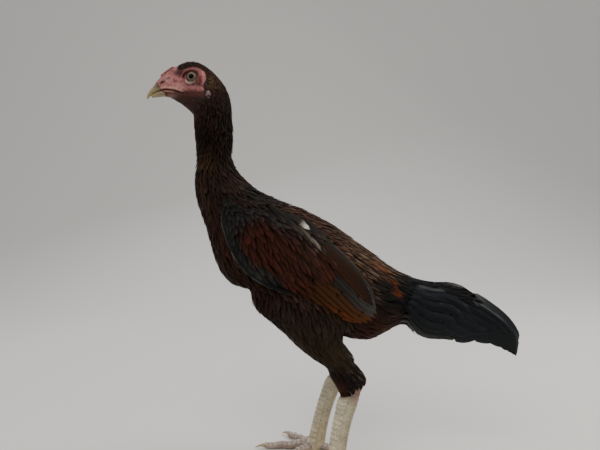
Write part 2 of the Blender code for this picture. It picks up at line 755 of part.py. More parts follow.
def head(eyes, finish):
    """Skull, face and throat with comb, lids, lips, ears, nostrils and a socket for each eye."""
    made = table_loft("head", TRUNK, 0.0, HEAD_END + 0.5, 20, 18, finish)
    added = comb()
    cuts = [grown(piece) for piece in eyes]
    for _, side in SIDES:
        added.append(lid(side))
        added.append(fold(side, ringed(side, 30, 150, 4, 0.0118), BROW_BAR))
        added.append(fold(side, UPPER_LIP, LIP_BAR))
        added.append(fold(side, LOWER_LIP, LIP_BAR * 0.9))
        added.append(fold(side, JAW_FOLD, JAW_BAR))
        x, z = EYE_PLACE
        cuts.append(ball("opening", on_face(side, x, z), (0.0070, 0.0021, 0.0066), 10, 4))
        ear = on_face(side, *EAR)
        added.append(ball("ear", ear, (0.0054, 0.0026, 0.0050), 9, 5))
        cuts.append(ball("ear hole", ear + Vector((0.0, side * 0.0026, 0.0)), (0.0034, 0.0032, 0.0030), 8, 5))
        added.append(ball("lobe", on_face(side, *EARLOBE), (0.0044, 0.0027, 0.0070), 8, 5, -0.2))
        cuts.append(ball("nostril", on_face(side, *NOSTRIL), (0.0036, 0.0022, 0.0010), 7, 4, 0.35))
        mouth = [on_face(side, *spline([Vector(place) for place in MOUTH], t)) for t in (-0.5, 0, 1, 2, 3)]
        mouth[0] = mouth[1] * 2 - mouth[2]
        cuts.append(bar("mouth", mouth, [MOUTH_CUT] * 4 + [MOUTH_CUT * 0.5]))
    boolean(made, added, "UNION", "MANIFOLD")
    boolean(made, cuts, "DIFFERENCE", "MANIFOLD")
    keep_before(made, HEAD_END)
    middle, normal = cut_plane(0.0)
    trim(made, middle, -normal)
    merged(made, 3 * FLAT_ANGLE)
    return made


def eye(name, side, finish):
    x, z = EYE_PLACE
    half = flank(x, z, 0, HEAD_END)
    centre = Vector((x, side * (half + EYE_BULGE - EYE_RADIUS), z))
    made = ball("eye_" + name, centre, (EYE_RADIUS,) * 3, 12, 8)
    made.data.materials.append(finish)
    return made


def bill(name, table, finish):
    rings = 2 * len(table) - 3
    made = table_loft("bill_" + name, table, 0.0, len(table) - 1.0, rings, 10, finish, -0.2)
    middle, normal = cut_plane(0.0)
    trim(made, middle - normal * GAP, normal)
    return made


def thigh(name, side, torso, finish):
    rear, front = side_points(THIGH)
    widths = [row[2] for row in THIGH]
    middles = [row[3] for row in THIGH]
    last = len(THIGH) - 1
    rings = []
    for i in range(15):
        t = last * i / 14
        swing = Vector((STRIDE[name] * (t / last) ** 2, 0.0, 0.0))
        rings.append(
            section(
                spline(rear, t) + swing, spline(front, t) + swing, spline(widths, t), 14, 0.0,
                side * spline(middles, t),
            )
        )
    made = loft("thigh_" + name, rings, finish)
    boolean(made, [grown(torso)], "DIFFERENCE")
    return made


def hock(name):
    """Middle of the thigh's lower end and the direction from its rear to its front."""
    rear, front = side_points(THIGH[-1:])
    swing = Vector((STRIDE[name], 0.0, 0.0))
    return (rear[0] + front[0]) / 2 + swing, (front[0] - rear[0]).normalized()


def plated(first, last, count, crest, raised):
    """Places along a leg or toe where its plates start and where each stands highest."""
    steps = []
    for i in range(count):
        start = mixed(first, last, i / count)
        end = mixed(first, last, (i + 1) / count)
        steps += [(start, 0.0), (mixed(start, end, crest), raised)]
    return steps


def shank(name, side, finish):
    """Scaled shank with raised plates down its front, and the pad that the toes grow from."""
    top, slant = hock(name)
    down = slant.cross(Vector((0.0, 1.0, 0.0)))
    if down.z > 0:
        down.negate()
    top = top + down * GAP
    sole = Vector((ANKLE_X[name], 0.0, 0.0))
    steps = [(0.0, 0.0)] + plated(*SHANK_PLATED, SHANK_PLATES, 0.9, PLATE_RAISE)
    steps += [(share, 0.0) for share in ANKLE_SHARES]
    rings = []
    for share, raised in steps:
        middle = top.lerp(sole, share)
        middle.x -= SHANK_BOW * math.sin(math.pi * min(share / 0.9, 1.0))
        front = slant.lerp(SHANK_FRONT, min(share / 0.2, 1.0))
        front = front.lerp(Vector((-1.0, 0.0, 0.0)), min(max(share - 0.75, 0.0) / 0.15, 1.0))
        front.normalize()
        depth = between(SHANK, share, 1)
        width = between(SHANK, share, 2)
        ring = []
        for k in range(12):
            angle = 2 * math.pi * k / 12
            lift = raised * max(math.cos(angle) - 0.1, 0.0)
            ring.append(
                middle
                + front * math.cos(angle) * (depth + lift)
                + Vector((0.0, side * LEG_SPREAD + math.sin(angle) * (width + lift), 0.0))
            )
        rings.append(ring)
    return loft("shank_" + name, rings, finish)


def toe_rings(ankle, side, kind):
    """Rings along a toe on the floor, with plates raised on its back and flat pads below."""
    length, angle, radius, plates, joints = TOES[kind]
    turn = math.radians(angle)
    ahead = Vector((-math.cos(turn), side * math.sin(turn), 0.0))
    across = ahead.cross(Vector((0.0, 0.0, 1.0)))
    steps = plated(TOE_START, length, plates, 0.85, TOE_PLATE_RAISE) + [(length, 0.0)]
    rings = []
    for distance, raised in steps:
        share = distance / length
        size = mixed(radius, CLAW_RADIUS + 0.0008, share ** 0.8)
        pad = math.cos(2 * math.pi * joints * share)
        height = size * (1.02 + 0.05 * pad) - PAD_SINK * (1 - 0.9 * pad) / 1.4
        if kind == "hind":
            height += HIND_RISE * (1 - share) ** 2
        else:
            height += TOE_RISE * (1 - min(share / 0.35, 1.0)) ** 2
        width = size * (1 - 0.06 * pad)
        ring = []
        for k in range(8):
            bend = 2 * math.pi * (k + 0.5) / 8
            lift = raised * max(math.sin(bend), 0.0)
            place = ankle + ahead * distance + across * math.cos(bend) * width
            place.z = max(height + math.sin(bend) * (size + lift), 0.0)
            ring.append(place)
        rings.append(ring)
    return rings, ahead, across, height


def toe(name, side, kind, neighbours, finish):
    ankle = Vector((ANKLE_X[name], side * LEG_SPREAD, 0.0))
    rings, ahead, across, height = toe_rings(ankle, side, kind)
    made = loft("toe_" + kind + "_" + name, rings, finish)
    boolean(made, [grown(piece) for piece in neighbours], "DIFFERENCE")
    root = ankle + ahead * (TOES[kind][0] + GAP)
    return made, (root, ahead, across, height)


def claw(name, kind, place, finish):
    """Blunt claw that curves down to the floor."""
    root, ahead, across, height = place
    rings = []
    for i in range(5):
        share = i / 4
        middle = root + ahead * CLAW_LENGTH * share
        middle.z = height + 0.0006 * math.sin(math.pi * share) - (height - 0.0009) * share ** 1.6
        size = mixed(CLAW_RADIUS, 0.0006, share ** 0.9)
        ring = []
        for k in range(6):
            bend = 2 * math.pi * (k + 0.5) / 6
            point = middle + across * math.cos(bend) * size * 0.8
            point.z = max(middle.z + math.sin(bend) * size, 0.0002)
            ring.append(point)
        rings.append(ring)
    return loft("claw_" + kind + "_" + name, rings, finish)


def main():
    clear_scene()
    skin = material("bare_skin", (0.42, 0.09, 0.08), 0.5)
    horn = material("bill_horn", (0.45, 0.38, 0.2), 0.35)
    scale = material("leg_scales", (0.55, 0.47, 0.3), 0.5)
    iris = material("eye", (0.35, 0.36, 0.26), 0.1)
    brown = material("brown_feathers", (0.05, 0.025, 0.015), 0.6)
    red = material("wing_feathers", (0.13, 0.035, 0.015), 0.55)
    black = material("tail_feathers", (0.012, 0.013, 0.018), 0.4)
    pale = material("claw_horn", (0.5, 0.42, 0.3), 0.35)

    neck = table_loft("neck", TRUNK, HEAD_END - 0.5, NECK_END + 0.5, 16, 18, brown)
    keep_after(neck, HEAD_END)
    keep_before(neck, NECK_END)
    torso = table_loft("torso", TRUNK, NECK_END - 0.5, len(TRUNK) - 1.0, 20, 20, brown)
    keep_after(torso, NECK_END)
    keep_before(torso, TORSO_END)
    tail(black)
    bill("upper", BILL_UPPER, horn)
    bill("lower", BILL_LOWER, horn)
    eyes = [eye(name, side, iris) for name, side in SIDES]
    head(eyes, skin)
    for name, side in SIDES:
        leg = thigh(name, side, torso, brown)
        wing(name, side, torso, leg, red)
        foot = [shank(name, side, scale)]
        for kind in TOES:
            digit, place = toe(name, side, kind, foot, scale)
            foot.append(digit)
            claw(name, kind, place, pale)
    for obj in bpy.data.collections[BIRD].objects:
        smooth(obj)


main()
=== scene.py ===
import math
import bpy
import numpy as np
from mathutils import Matrix, Vector
from mathutils.bvhtree import BVHTree
from mathutils.kdtree import KDTree


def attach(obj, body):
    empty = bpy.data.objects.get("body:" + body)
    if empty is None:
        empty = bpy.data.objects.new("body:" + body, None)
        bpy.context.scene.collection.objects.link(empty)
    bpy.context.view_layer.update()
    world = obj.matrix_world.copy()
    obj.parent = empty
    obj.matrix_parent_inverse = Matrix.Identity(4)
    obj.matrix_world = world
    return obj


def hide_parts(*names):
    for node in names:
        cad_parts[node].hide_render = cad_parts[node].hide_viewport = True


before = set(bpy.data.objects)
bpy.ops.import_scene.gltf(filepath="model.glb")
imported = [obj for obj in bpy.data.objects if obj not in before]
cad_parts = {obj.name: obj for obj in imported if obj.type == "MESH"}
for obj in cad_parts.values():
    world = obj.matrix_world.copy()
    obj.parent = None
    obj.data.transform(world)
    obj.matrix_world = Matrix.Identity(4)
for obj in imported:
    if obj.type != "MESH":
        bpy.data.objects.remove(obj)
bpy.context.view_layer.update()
draw = np.random.default_rng(11)
sides = (("left", -1.0), ("right", 1.0))
print("frame loaded")


# colours and materials

def linear(hexColour):
    made = []
    for i in (0, 2, 4):
        value = int(hexColour[i:i + 2], 16) / 255
        made.append(value / 12.92 if value <= 0.04045 else ((value + 0.055) / 1.055) ** 2.4)
    return tuple(made) + (1.0,)


def rgb(hexColour):
    return np.array(linear(hexColour)[:3])


def addNode(tree, kind, settings=None, links=None):
    node = tree.nodes.new(kind)
    for key, value in (settings or {}).items():
        if isinstance(key, int) or key in node.inputs:
            node.inputs[key].default_value = value
        else:
            setattr(node, key, value)
    for key, source in (links or {}).items():
        tree.links.new(source, node.inputs[key])
    return node


def newMaterial(name, settings):
    made = bpy.data.materials.new(name)
    made.use_nodes = True
    shader = made.node_tree.nodes["Principled BSDF"]
    for key, value in settings.items():
        shader.inputs[key].default_value = value
    return made, made.node_tree, shader


def featherMaterial(name, settings, barbDepth):
    # keratin vanes: barbs run out and forward from a smooth shaft, and catch the light in fine lines
    made, tree, shader = newMaterial(name, settings)
    tint = addNode(tree, "ShaderNodeAttribute", {"attribute_name": "tint"})
    vane = addNode(tree, "ShaderNodeUVMap", {"uv_map": "vane"})
    split = addNode(tree, "ShaderNodeSeparateXYZ", links={"Vector": vane.outputs[0]})
    fromShaft = addNode(tree, "ShaderNodeMath", {"operation": "SUBTRACT", 1: 0.5}, {0: split.outputs[0]})
    out = addNode(tree, "ShaderNodeMath", {"operation": "ABSOLUTE"}, {0: fromShaft.outputs[0]})
    slanted = addNode(tree, "ShaderNodeMath", {"operation": "MULTIPLY_ADD", 1: -0.55},
                      {0: out.outputs[0], 2: split.outputs[1]})
    wobble = addNode(tree, "ShaderNodeTexNoise", {"Scale": 260.0, "Detail": 2.0})
    place = addNode(tree, "ShaderNodeTexCoord")
    tree.links.new(place.outputs["Object"], wobble.inputs["Vector"])
    bent = addNode(tree, "ShaderNodeMath", {"operation": "MULTIPLY_ADD", 1: 0.05},
                   {0: wobble.outputs[0], 2: slanted.outputs[0]})
    turns = addNode(tree, "ShaderNodeMath", {"operation": "MULTIPLY", 1: 150.0}, {0: bent.outputs[0]})
    barb = addNode(tree, "ShaderNodeMath", {"operation": "SINE"}, {0: turns.outputs[0]})
    shaft = addNode(tree, "ShaderNodeMapRange", {1: 0.015, 2: 0.05, 3: 1.0, 4: 0.0}, {0: out.outputs[0]})
    light = addNode(tree, "ShaderNodeMapRange", {1: -1.0, 2: 1.0, 3: 0.72, 4: 1.22}, {0: barb.outputs[0]})
    lit = addNode(tree, "ShaderNodeMath", {"operation": "MULTIPLY_ADD", 1: 0.22},
                  {0: shaft.outputs[0], 2: light.outputs[0]})
    colour = addNode(tree, "ShaderNodeVectorMath", {"operation": "SCALE"},
                     {0: tint.outputs[0], "Scale": lit.outputs[0]})
    tree.links.new(colour.outputs[0], shader.inputs["Base Color"])
    height = addNode(tree, "ShaderNodeMath", {"operation": "MULTIPLY_ADD", 1: 2.5},
                     {0: shaft.outputs[0], 2: barb.outputs[0]})
    bump = addNode(tree, "ShaderNodeBump", {"Strength": barbDepth, "Distance": 0.0002},
                   {"Height": height.outputs[0]})
    tree.links.new(bump.outputs[0], shader.inputs["Normal"])
    return made


# hard, tight contour feathers: dry but smooth, so they shine a little along the body
contour = featherMaterial("keratin_contour_feathers", {
    "Roughness": 0.52, "IOR": 1.54, "Specular IOR Level": 0.07}, 0.45)
# black feathers with a thin blue-green gloss, as on the tail and shoulder
glossy = featherMaterial("keratin_glossy_black_feathers", {
    "Roughness": 0.38, "IOR": 1.56, "Specular IOR Level": 0.16, "Specular Tint": linear("ccd8e2")}, 0.35)


def skinMaterial():
    # living bare skin: blood shows through, and its grain is fine pebbles
    made, tree, shader = newMaterial("bare_living_skin", {
        "Roughness": 0.52, "IOR": 1.4, "Specular IOR Level": 0.22, "Subsurface Weight": 0.12, "Subsurface Scale": 0.0012,
        "Subsurface Radius": (1.0, 0.35, 0.2)})
    place = addNode(tree, "ShaderNodeTexCoord")
    tint = addNode(tree, "ShaderNodeAttribute", {"attribute_name": "tint"})
    pebble = addNode(tree, "ShaderNodeTexVoronoi", {"Scale": 900.0}, {"Vector": place.outputs["Object"]})
    blotch = addNode(tree, "ShaderNodeTexNoise", {"Scale": 220.0, "Detail": 4.0, "Roughness": 0.6},
                     {"Vector": place.outputs["Object"]})
    patch = addNode(tree, "ShaderNodeMapRange", {1: 0.3, 2: 0.7, 3: 0.74, 4: 1.24}, {0: blotch.outputs[0]})
    grain = addNode(tree, "ShaderNodeMapRange", {1: 0.0, 2: 0.7, 3: 1.1, 4: 0.8}, {0: pebble.outputs[0]})
    both = addNode(tree, "ShaderNodeMath", {"operation": "MULTIPLY"}, {0: patch.outputs[0], 1: grain.outputs[0]})
    colour = addNode(tree, "ShaderNodeVectorMath", {"operation": "SCALE"},
                     {0: tint.outputs[0], "Scale": both.outputs[0]})
    tree.links.new(colour.outputs[0], shader.inputs["Base Color"])
    height = addNode(tree, "ShaderNodeMath", {"operation": "SUBTRACT"},
                     {0: blotch.outputs[0], 1: pebble.outputs[0]})
    bump = addNode(tree, "ShaderNodeBump", {"Strength": 0.55, "Distance": 0.0005}, {"Height": height.outputs[0]})
    tree.links.new(bump.outputs[0], shader.inputs["Normal"])
    return made


def scaleMaterial():
    # horny leg scales: smooth, dry and a little waxy, darker in the grooves between them and stained in patches
    made, tree, shader = newMaterial("horny_leg_scales", {"Roughness": 0.48, "IOR": 1.5})
    place = addNode(tree, "ShaderNodeTexCoord")
    tint = addNode(tree, "ShaderNodeAttribute", {"attribute_name": "tint"})
    cells = addNode(tree, "ShaderNodeTexVoronoi", {"Scale": 620.0, "feature": "DISTANCE_TO_EDGE"},
                    {"Vector": place.outputs["Object"]})
    groove = addNode(tree, "ShaderNodeMapRange", {1: 0.0, 2: 0.20, 3: 0.50, 4: 1.0}, {0: cells.outputs[0]})
    stain = addNode(tree, "ShaderNodeTexNoise", {"Scale": 90.0, "Detail": 5.0}, {"Vector": place.outputs["Object"]})
    dirt = addNode(tree, "ShaderNodeMapRange", {1: 0.3, 2: 0.7, 3: 0.74, 4: 1.12}, {0: stain.outputs[0]})
    both = addNode(tree, "ShaderNodeMath", {"operation": "MULTIPLY"}, {0: groove.outputs[0], 1: dirt.outputs[0]})
    colour = addNode(tree, "ShaderNodeVectorMath", {"operation": "SCALE"},
                     {0: tint.outputs[0], "Scale": both.outputs[0]})
    tree.links.new(colour.outputs[0], shader.inputs["Base Color"])
    bump = addNode(tree, "ShaderNodeBump", {"Strength": 0.35, "Distance": 0.0003}, {"Height": groove.outputs[0]})
    tree.links.new(bump.outputs[0], shader.inputs["Normal"])
    return made


def hornMaterial(name, dark, pale, roughness):
    # grown horn: lies in layers, so streaks run along it, and it is glossy where it is rubbed
    made, tree, shader = newMaterial(name, {"IOR": 1.54, "Coat Weight": 0.25, "Coat Roughness": 0.2})
    along = addNode(tree, "ShaderNodeUVMap", {"uv_map": "grain"})
    stretched = addNode(tree, "ShaderNodeMapping", {"Scale": (16.0, 2.5, 1.0)}, {"Vector": along.outputs[0]})
    streak = addNode(tree, "ShaderNodeTexNoise", {"Scale": 1.6, "Detail": 5.0}, {"Vector": stretched.outputs[0]})
    mixed = addNode(tree, "ShaderNodeValToRGB", links={"Fac": streak.outputs[0]})
    mixed.color_ramp.elements[0].position = 0.3
    mixed.color_ramp.elements[0].color = linear(dark)
    mixed.color_ramp.elements[1].position = 0.7
    mixed.color_ramp.elements[1].color = linear(pale)
    tint = addNode(tree, "ShaderNodeAttribute", {"attribute_name": "tint"})
    colour = addNode(tree, "ShaderNodeVectorMath", {"operation": "MULTIPLY"},
                     {0: tint.outputs[0], 1: mixed.outputs[0]})
    tree.links.new(colour.outputs[0], shader.inputs["Base Color"])
    rub = addNode(tree, "ShaderNodeMapRange", {1: 0.3, 2: 0.7, 3: roughness - 0.08, 4: roughness + 0.12},
                  {0: streak.outputs[0]})
    tree.links.new(rub.outputs[0], shader.inputs["Roughness"])
    bump = addNode(tree, "ShaderNodeBump", {"Strength": 0.3, "Distance": 0.0002}, {"Height": streak.outputs[0]})
    tree.links.new(bump.outputs[0], shader.inputs["Normal"])
    return made


def eyeMaterial():
    # wet cornea over a pearl iris: the rings come from the distance to the middle of the pupil
    made, tree, shader = newMaterial("wet_cornea_over_iris", {
        "Roughness": 0.08, "IOR": 1.38, "Specular IOR Level": 0.05, "Coat Weight": 0.06, "Coat Roughness": 0.02})
    tint = addNode(tree, "ShaderNodeAttribute", {"attribute_name": "tint"})
    place = addNode(tree, "ShaderNodeTexCoord")
    fibre = addNode(tree, "ShaderNodeTexNoise", {"Scale": 900.0, "Detail": 3.0}, {"Vector": place.outputs["Object"]})
    shade = addNode(tree, "ShaderNodeMapRange", {1: 0.3, 2: 0.7, 3: 0.8, 4: 1.2}, {0: fibre.outputs[0]})
    colour = addNode(tree, "ShaderNodeVectorMath", {"operation": "SCALE"},
                     {0: tint.outputs[0], "Scale": shade.outputs[0]})
    tree.links.new(colour.outputs[0], shader.inputs["Base Color"])
    return made


skinFinish = skinMaterial()
scaleFinish = scaleMaterial()
billFinish = hornMaterial("olive_bill_horn", "6a6048", "b0a480", 0.36)
clawFinish = hornMaterial("pale_claw_horn", "8d7a60", "c9b99c", 0.4)
eyeFinish = eyeMaterial()
print("materials made")


# smooth curves and the bird's own surfaces, from the places that its solids are made of

def curve(rows, t):
    rows = np.asarray(rows, float)
    last = len(rows) - 1
    t = np.clip(np.asarray(t, float), 0.0, last)
    i = np.minimum(t.astype(int), last - 1)
    u = (t - i)[..., None]
    more = np.vstack([2 * rows[0] - rows[1], rows, 2 * rows[-1] - rows[-2]])
    p0, p1, p2, p3 = more[i], more[i + 1], more[i + 2], more[i + 3]
    return 0.5 * (2 * p1 + (p2 - p0) * u + (2 * p0 - 5 * p1 + 4 * p2 - p3) * u ** 2
                  + (3 * p1 - p0 - 3 * p2 + p3) * u ** 3)


def smooth(low, high, value):
    share = np.clip((value - low) / (high - low), 0.0, 1.0)
    return share * share * (3 - 2 * share)


def mix(first, second, share):
    share = np.asarray(share)[..., None]
    return np.asarray(first) * (1 - share) + np.asarray(second) * share


def unit(vectors):
    return vectors / np.maximum(np.linalg.norm(vectors, axis=-1, keepdims=True), 1e-12)


# upper x, upper z, lower x, lower z, half width, from the bill's root over the back and along the tail's root
trunkRows = [
    (-0.2195, 0.4990, -0.2100, 0.4783, 0.0072), (-0.2140, 0.5028, -0.2045, 0.4770, 0.0098),
    (-0.2045, 0.5090, -0.2005, 0.4748, 0.0125), (-0.1885, 0.5180, -0.1960, 0.4718, 0.0155),
    (-0.1730, 0.5212, -0.1905, 0.4685, 0.0175), (-0.1580, 0.5155, -0.1855, 0.4642, 0.0188),
    (-0.1440, 0.5030, -0.1800, 0.4595, 0.0192), (-0.1330, 0.4880, -0.1765, 0.4555, 0.0190),
    (-0.1268, 0.4700, -0.1745, 0.4500, 0.0190), (-0.1255, 0.4470, -0.1735, 0.4380, 0.0190),
    (-0.1250, 0.4200, -0.1725, 0.4150, 0.0185), (-0.1275, 0.3990, -0.1725, 0.3920, 0.0187),
    (-0.1225, 0.3830, -0.1755, 0.3710, 0.0210), (-0.1125, 0.3690, -0.1745, 0.3500, 0.0255),
    (-0.0985, 0.3560, -0.1695, 0.3280, 0.0315), (-0.0825, 0.3460, -0.1615, 0.3040, 0.0385),
    (-0.0645, 0.3380, -0.1560, 0.2760, 0.0445), (-0.0445, 0.3300, -0.1440, 0.2480, 0.0490),
    (-0.0225, 0.3190, -0.1170, 0.2290, 0.0515), (-0.0005, 0.3060, -0.0785, 0.2060, 0.0520),
    (0.0235, 0.2880, -0.0385, 0.1830, 0.0505), (0.0465, 0.2700, 0.0015, 0.1640, 0.0465),
    (0.0675, 0.2530, 0.0375, 0.1570, 0.0400), (0.0855, 0.2415, 0.0655, 0.1680, 0.0310),
    (0.0995, 0.2350, 0.0835, 0.1750, 0.0228), (0.1225, 0.2275, 0.1060, 0.1600, 0.0178),
    (0.1485, 0.2230, 0.1325, 0.1590, 0.0140), (0.1735, 0.2100, 0.1525, 0.1550, 0.0110),
    (0.1985, 0.1930, 0.1775, 0.1530, 0.0085),
]
lastRow = len(trunkRows) - 1.0
# rear x, rear z, front x, front z, half width, distance of its middle from the midline
thighRows = [
    (0.0120, 0.2450, -0.1080, 0.2400, 0.0150, 0.0260), (0.0160, 0.2150, -0.1135, 0.2150, 0.0200, 0.0300),
    (0.0150, 0.1880, -0.0940, 0.2000, 0.0220, 0.0330), (0.0050, 0.1680, -0.0730, 0.1830, 0.0225, 0.0350),
    (0.0080, 0.1530, -0.0530, 0.1630, 0.0205, 0.0365), (0.0170, 0.1390, -0.0340, 0.1465, 0.0175, 0.0375),
    (0.0270, 0.1270, -0.0175, 0.1350, 0.0150, 0.0380), (0.0312, 0.1170, -0.0120, 0.1215, 0.0130, 0.0380),
    (0.0285, 0.1110, -0.0045, 0.1080, 0.0115, 0.0380), (0.0255, 0.1055, 0.0005, 0.0955, 0.0100, 0.0380),
]
stride = {"left": 0.0, "right": -0.0090}


def ringPoint(row, angle, egg):
    # a point of an oval between the upper and the lower line, fuller above where egg is positive
    share = (1 - np.cos(angle)) / 2
    out = row[..., 4] * np.sin(angle) * (1 + egg * np.cos(angle))
    x = row[..., 0] + (row[..., 2] - row[..., 0]) * share
    z = row[..., 1] + (row[..., 3] - row[..., 1]) * share
    return np.stack([x, out, z], axis=-1)


def trunk(t, angle):
    return ringPoint(curve(trunkRows, t), np.asarray(angle, float), 0.10)


def thigh(name, side):
    def surface(t, angle):
        t = np.asarray(t, float)
        row = curve(thighRows, t)
        made = ringPoint(row, np.asarray(angle, float), 0.0)
        made[..., 1] = side * (row[..., 5] + made[..., 1])
        made[..., 0] += stride[name] * (t / (len(thighRows) - 1)) ** 2
        return made
    return surface


def eased(points):
    # the coat hides the corner between breast and thigh: one is filled out and the other drawn back
    made = np.array(points, float)
    corner = np.exp(-((points[..., 0] + 0.1140) / 0.017) ** 2 - ((points[..., 2] - 0.2140) / 0.018) ** 2)
    hollow = np.exp(-((points[..., 0] + 0.1280) / 0.016) ** 2 - ((points[..., 2] - 0.2370) / 0.014) ** 2)
    made[..., 0] += 0.0070 * corner - 0.0022 * hollow
    made[..., 2] -= 0.0030 * hollow
    return made


def normalOf(surface, t, angle, turned=1.0):
    step = 0.004
    alongIt = surface(t + step, angle) - surface(t - step, angle)
    roundIt = surface(t, angle + step) - surface(t, angle - step)
    return unit(np.cross(alongIt, roundIt)) * turned


def alongOf(surface, t, angle):
    step = 0.02
    return (surface(t + step, angle) - surface(t - step, angle)) / (2 * step)


# meshes from arrays

def meshFrom(name, points, faces, finish, tint=None, maps=None):
    mesh = bpy.data.meshes.new(name)
    faces = np.asarray(faces, np.int32)
    count, corners = faces.shape
    mesh.vertices.add(len(points))
    mesh.vertices.foreach_set("co", np.asarray(points, np.float32).ravel())
    mesh.loops.add(count * corners)
    mesh.loops.foreach_set("vertex_index", faces.ravel())
    mesh.polygons.add(count)
    mesh.polygons.foreach_set("loop_start", np.arange(0, count * corners, corners, dtype=np.int32))
    mesh.update(calc_edges=True)
    if tint is not None:
        layer = mesh.attributes.new("tint", "FLOAT_COLOR", "POINT")
        full = np.ones((len(points), 4), np.float32)
        full[:, :3] = tint
        layer.data.foreach_set("color", full.ravel())
    for key, places in (maps or {}).items():
        layer = mesh.uv_layers.new(name=key)
        layer.data.foreach_set("uv", np.asarray(places, np.float32)[faces.ravel()].ravel())
    mesh.validate()
    mesh.shade_smooth()
    mesh.materials.append(finish)
    made = bpy.data.objects.new(name, mesh)
    bpy.context.scene.collection.objects.link(made)
    return made


def gridFaces(rows, columns, closed=False):
    # quads between rows of points, joined round where closed
    width = columns if closed else columns - 1
    j, k = np.meshgrid(np.arange(rows - 1), np.arange(width), indexing="ij")
    n = (k + 1) % columns
    return np.stack([j * columns + k, (j + 1) * columns + k, (j + 1) * columns + n, j * columns + n],
                    axis=-1).reshape(-1, 4)


def settle(piece, slotName, *nodes):
    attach(piece, "root")
    if nodes:
        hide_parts(*nodes)
    return piece


# feathers: one closed, thin vane is laid out once and set many times

def vanePattern(rows, columns, blunt, rough, point=0.0):
    # along, across and thickness of a vane's points, its faces and how wide it is at each point
    a = 1 - (1 - np.linspace(0, 1, rows)) ** 1.25
    c = np.linspace(-1, 1, columns)
    half = 0.42 + 0.58 * np.minimum(a / 0.35, 1.0) ** 0.8
    fall = np.clip((a - (1 - blunt)) / blunt, 0, 1)
    half = half * np.maximum(np.sqrt(np.clip(1 - fall ** (2.2 - point), 0, 1)), 0.10)
    along = np.repeat(a[:, None], columns, 1)
    across = c[None, :] * half[:, None]
    edge = (np.abs(c) > 0.99)[None, :]
    notch = draw.uniform(-rough, rough, (rows, columns)) * edge
    deep = (draw.random((rows, columns)) < 0.14) * edge * (a[:, None] > 0.25) * draw.uniform(0.25, 0.5, (rows, columns))
    across = across * (1 - np.abs(notch) - deep)
    along = np.clip(along + notch * 0.05 - 0.05 * np.abs(c)[None, :] ** 2, 0, 1)
    points = np.stack([along, across, 0.5 * (1 - np.abs(c)[None, :] ** 2) * np.ones((rows, 1))], -1).reshape(-1, 3)
    faces = []
    for face in gridFaces(rows, columns):
        faces += [(face[0], face[1], face[2]), (face[0], face[2], face[3])]
    # the flat under side lies between the two edges
    for j in range(rows - 1):
        left, nextLeft = j * columns, (j + 1) * columns
        right, nextRight = left + columns - 1, nextLeft + columns - 1
        faces += [(left, right, nextRight), (left, nextRight, nextLeft)]
    last = (rows - 1) * columns
    for k in range(1, columns - 1):
        faces += [(0, k, k + 1), (last, last + k + 1, last + k)]
    return {"points": points, "faces": np.array(faces)}


def layFeathers(patterns, root, middle, tip, normalRoot, normalTip, width, camber, thickness, twist=None):
    # sets one feather along each bent line, crosswise to it and to the surface's normals
    count = len(root)
    chosen = draw.integers(0, len(patterns), count)
    bend = 2 * middle - (root + tip) / 2
    ahead = unit(tip - root)
    points = np.zeros((count, len(patterns[0]["points"]), 3))
    maps = np.zeros((count, len(patterns[0]["points"]), 2))
    for n, pattern in enumerate(patterns):
        who = np.nonzero(chosen == n)[0]
        if len(who) == 0:
            continue
        a = pattern["points"][None, :, 0:1]
        c = pattern["points"][None, :, 1:2]
        h = pattern["points"][None, :, 2:3]
        axis = root[who, None] * (1 - a) ** 2 + 2 * bend[who, None] * a * (1 - a) + tip[who, None] * a ** 2
        up = unit(normalRoot[who, None] * (1 - a) + normalTip[who, None] * a)
        if twist is not None:
            up = unit(up + np.cross(ahead[who], normalTip[who])[:, None] * twist[who, None, None])
        out = unit(np.cross(up, ahead[who][:, None]))
        half = width[who, None, None] / 2
        points[who] = axis + out * c * half + up * (thickness * h - camber * c ** 2 * half)
        maps[who] = np.concatenate([c * 0.5 + 0.5, a], -1) + 0 * axis[..., :2]
    return points, maps


def featherPiece(name, patterns, points, maps, tint, unwrap, lengths, finish, slotName, flipped=False, nodes=()):
    # one mesh of many feathers, each a small patch of the baking map at its root's place
    count, size = points.shape[:2]
    faces = (np.arange(count) * size)[:, None, None] + patterns[0]["faces"][None]
    faces = faces.reshape(-1, 3)
    bake = unwrap[:, None] * 0.94 + 0.03 + (maps - 0.5) * 0.003
    vane = maps * np.stack([np.ones(count), lengths / 0.02], -1)[:, None]
    made = meshFrom(name, points.reshape(-1, 3), faces[:, ::-1] if flipped else faces, finish,
                    tint.reshape(-1, 3), {"vane": vane.reshape(-1, 2), "OFBake": bake.reshape(-1, 2)})
    return settle(made, slotName, *nodes)


def shaded(base, maps, edge, edgeShare=0.0, coveredRootShade=0.55):
    # a feather's colour: painted shade darkens its covered root, and its tip and edges take a second colour
    a, c = maps[..., 1], np.abs(maps[..., 0] - 0.5) * 2
    made = np.repeat(base[:, None], maps.shape[1], 1) * (coveredRootShade + (1 - coveredRootShade) * smooth(0.15, 0.7, a))[..., None]
    rim = smooth(0.60, 0.98, np.maximum(a, 0.2 + 0.8 * c * a)) * edgeShare
    return mix(made, np.broadcast_to(edge, made.shape) if edge.ndim == 1 else np.repeat(edge[:, None], maps.shape[1], 1), rim)


def fleck(count, amount, lively=1.0):
    # each feather is a little lighter or darker than its neighbours
    return np.clip(1 + draw.normal(0, amount, count) * lively, 0.4, 1.9)[:, None]


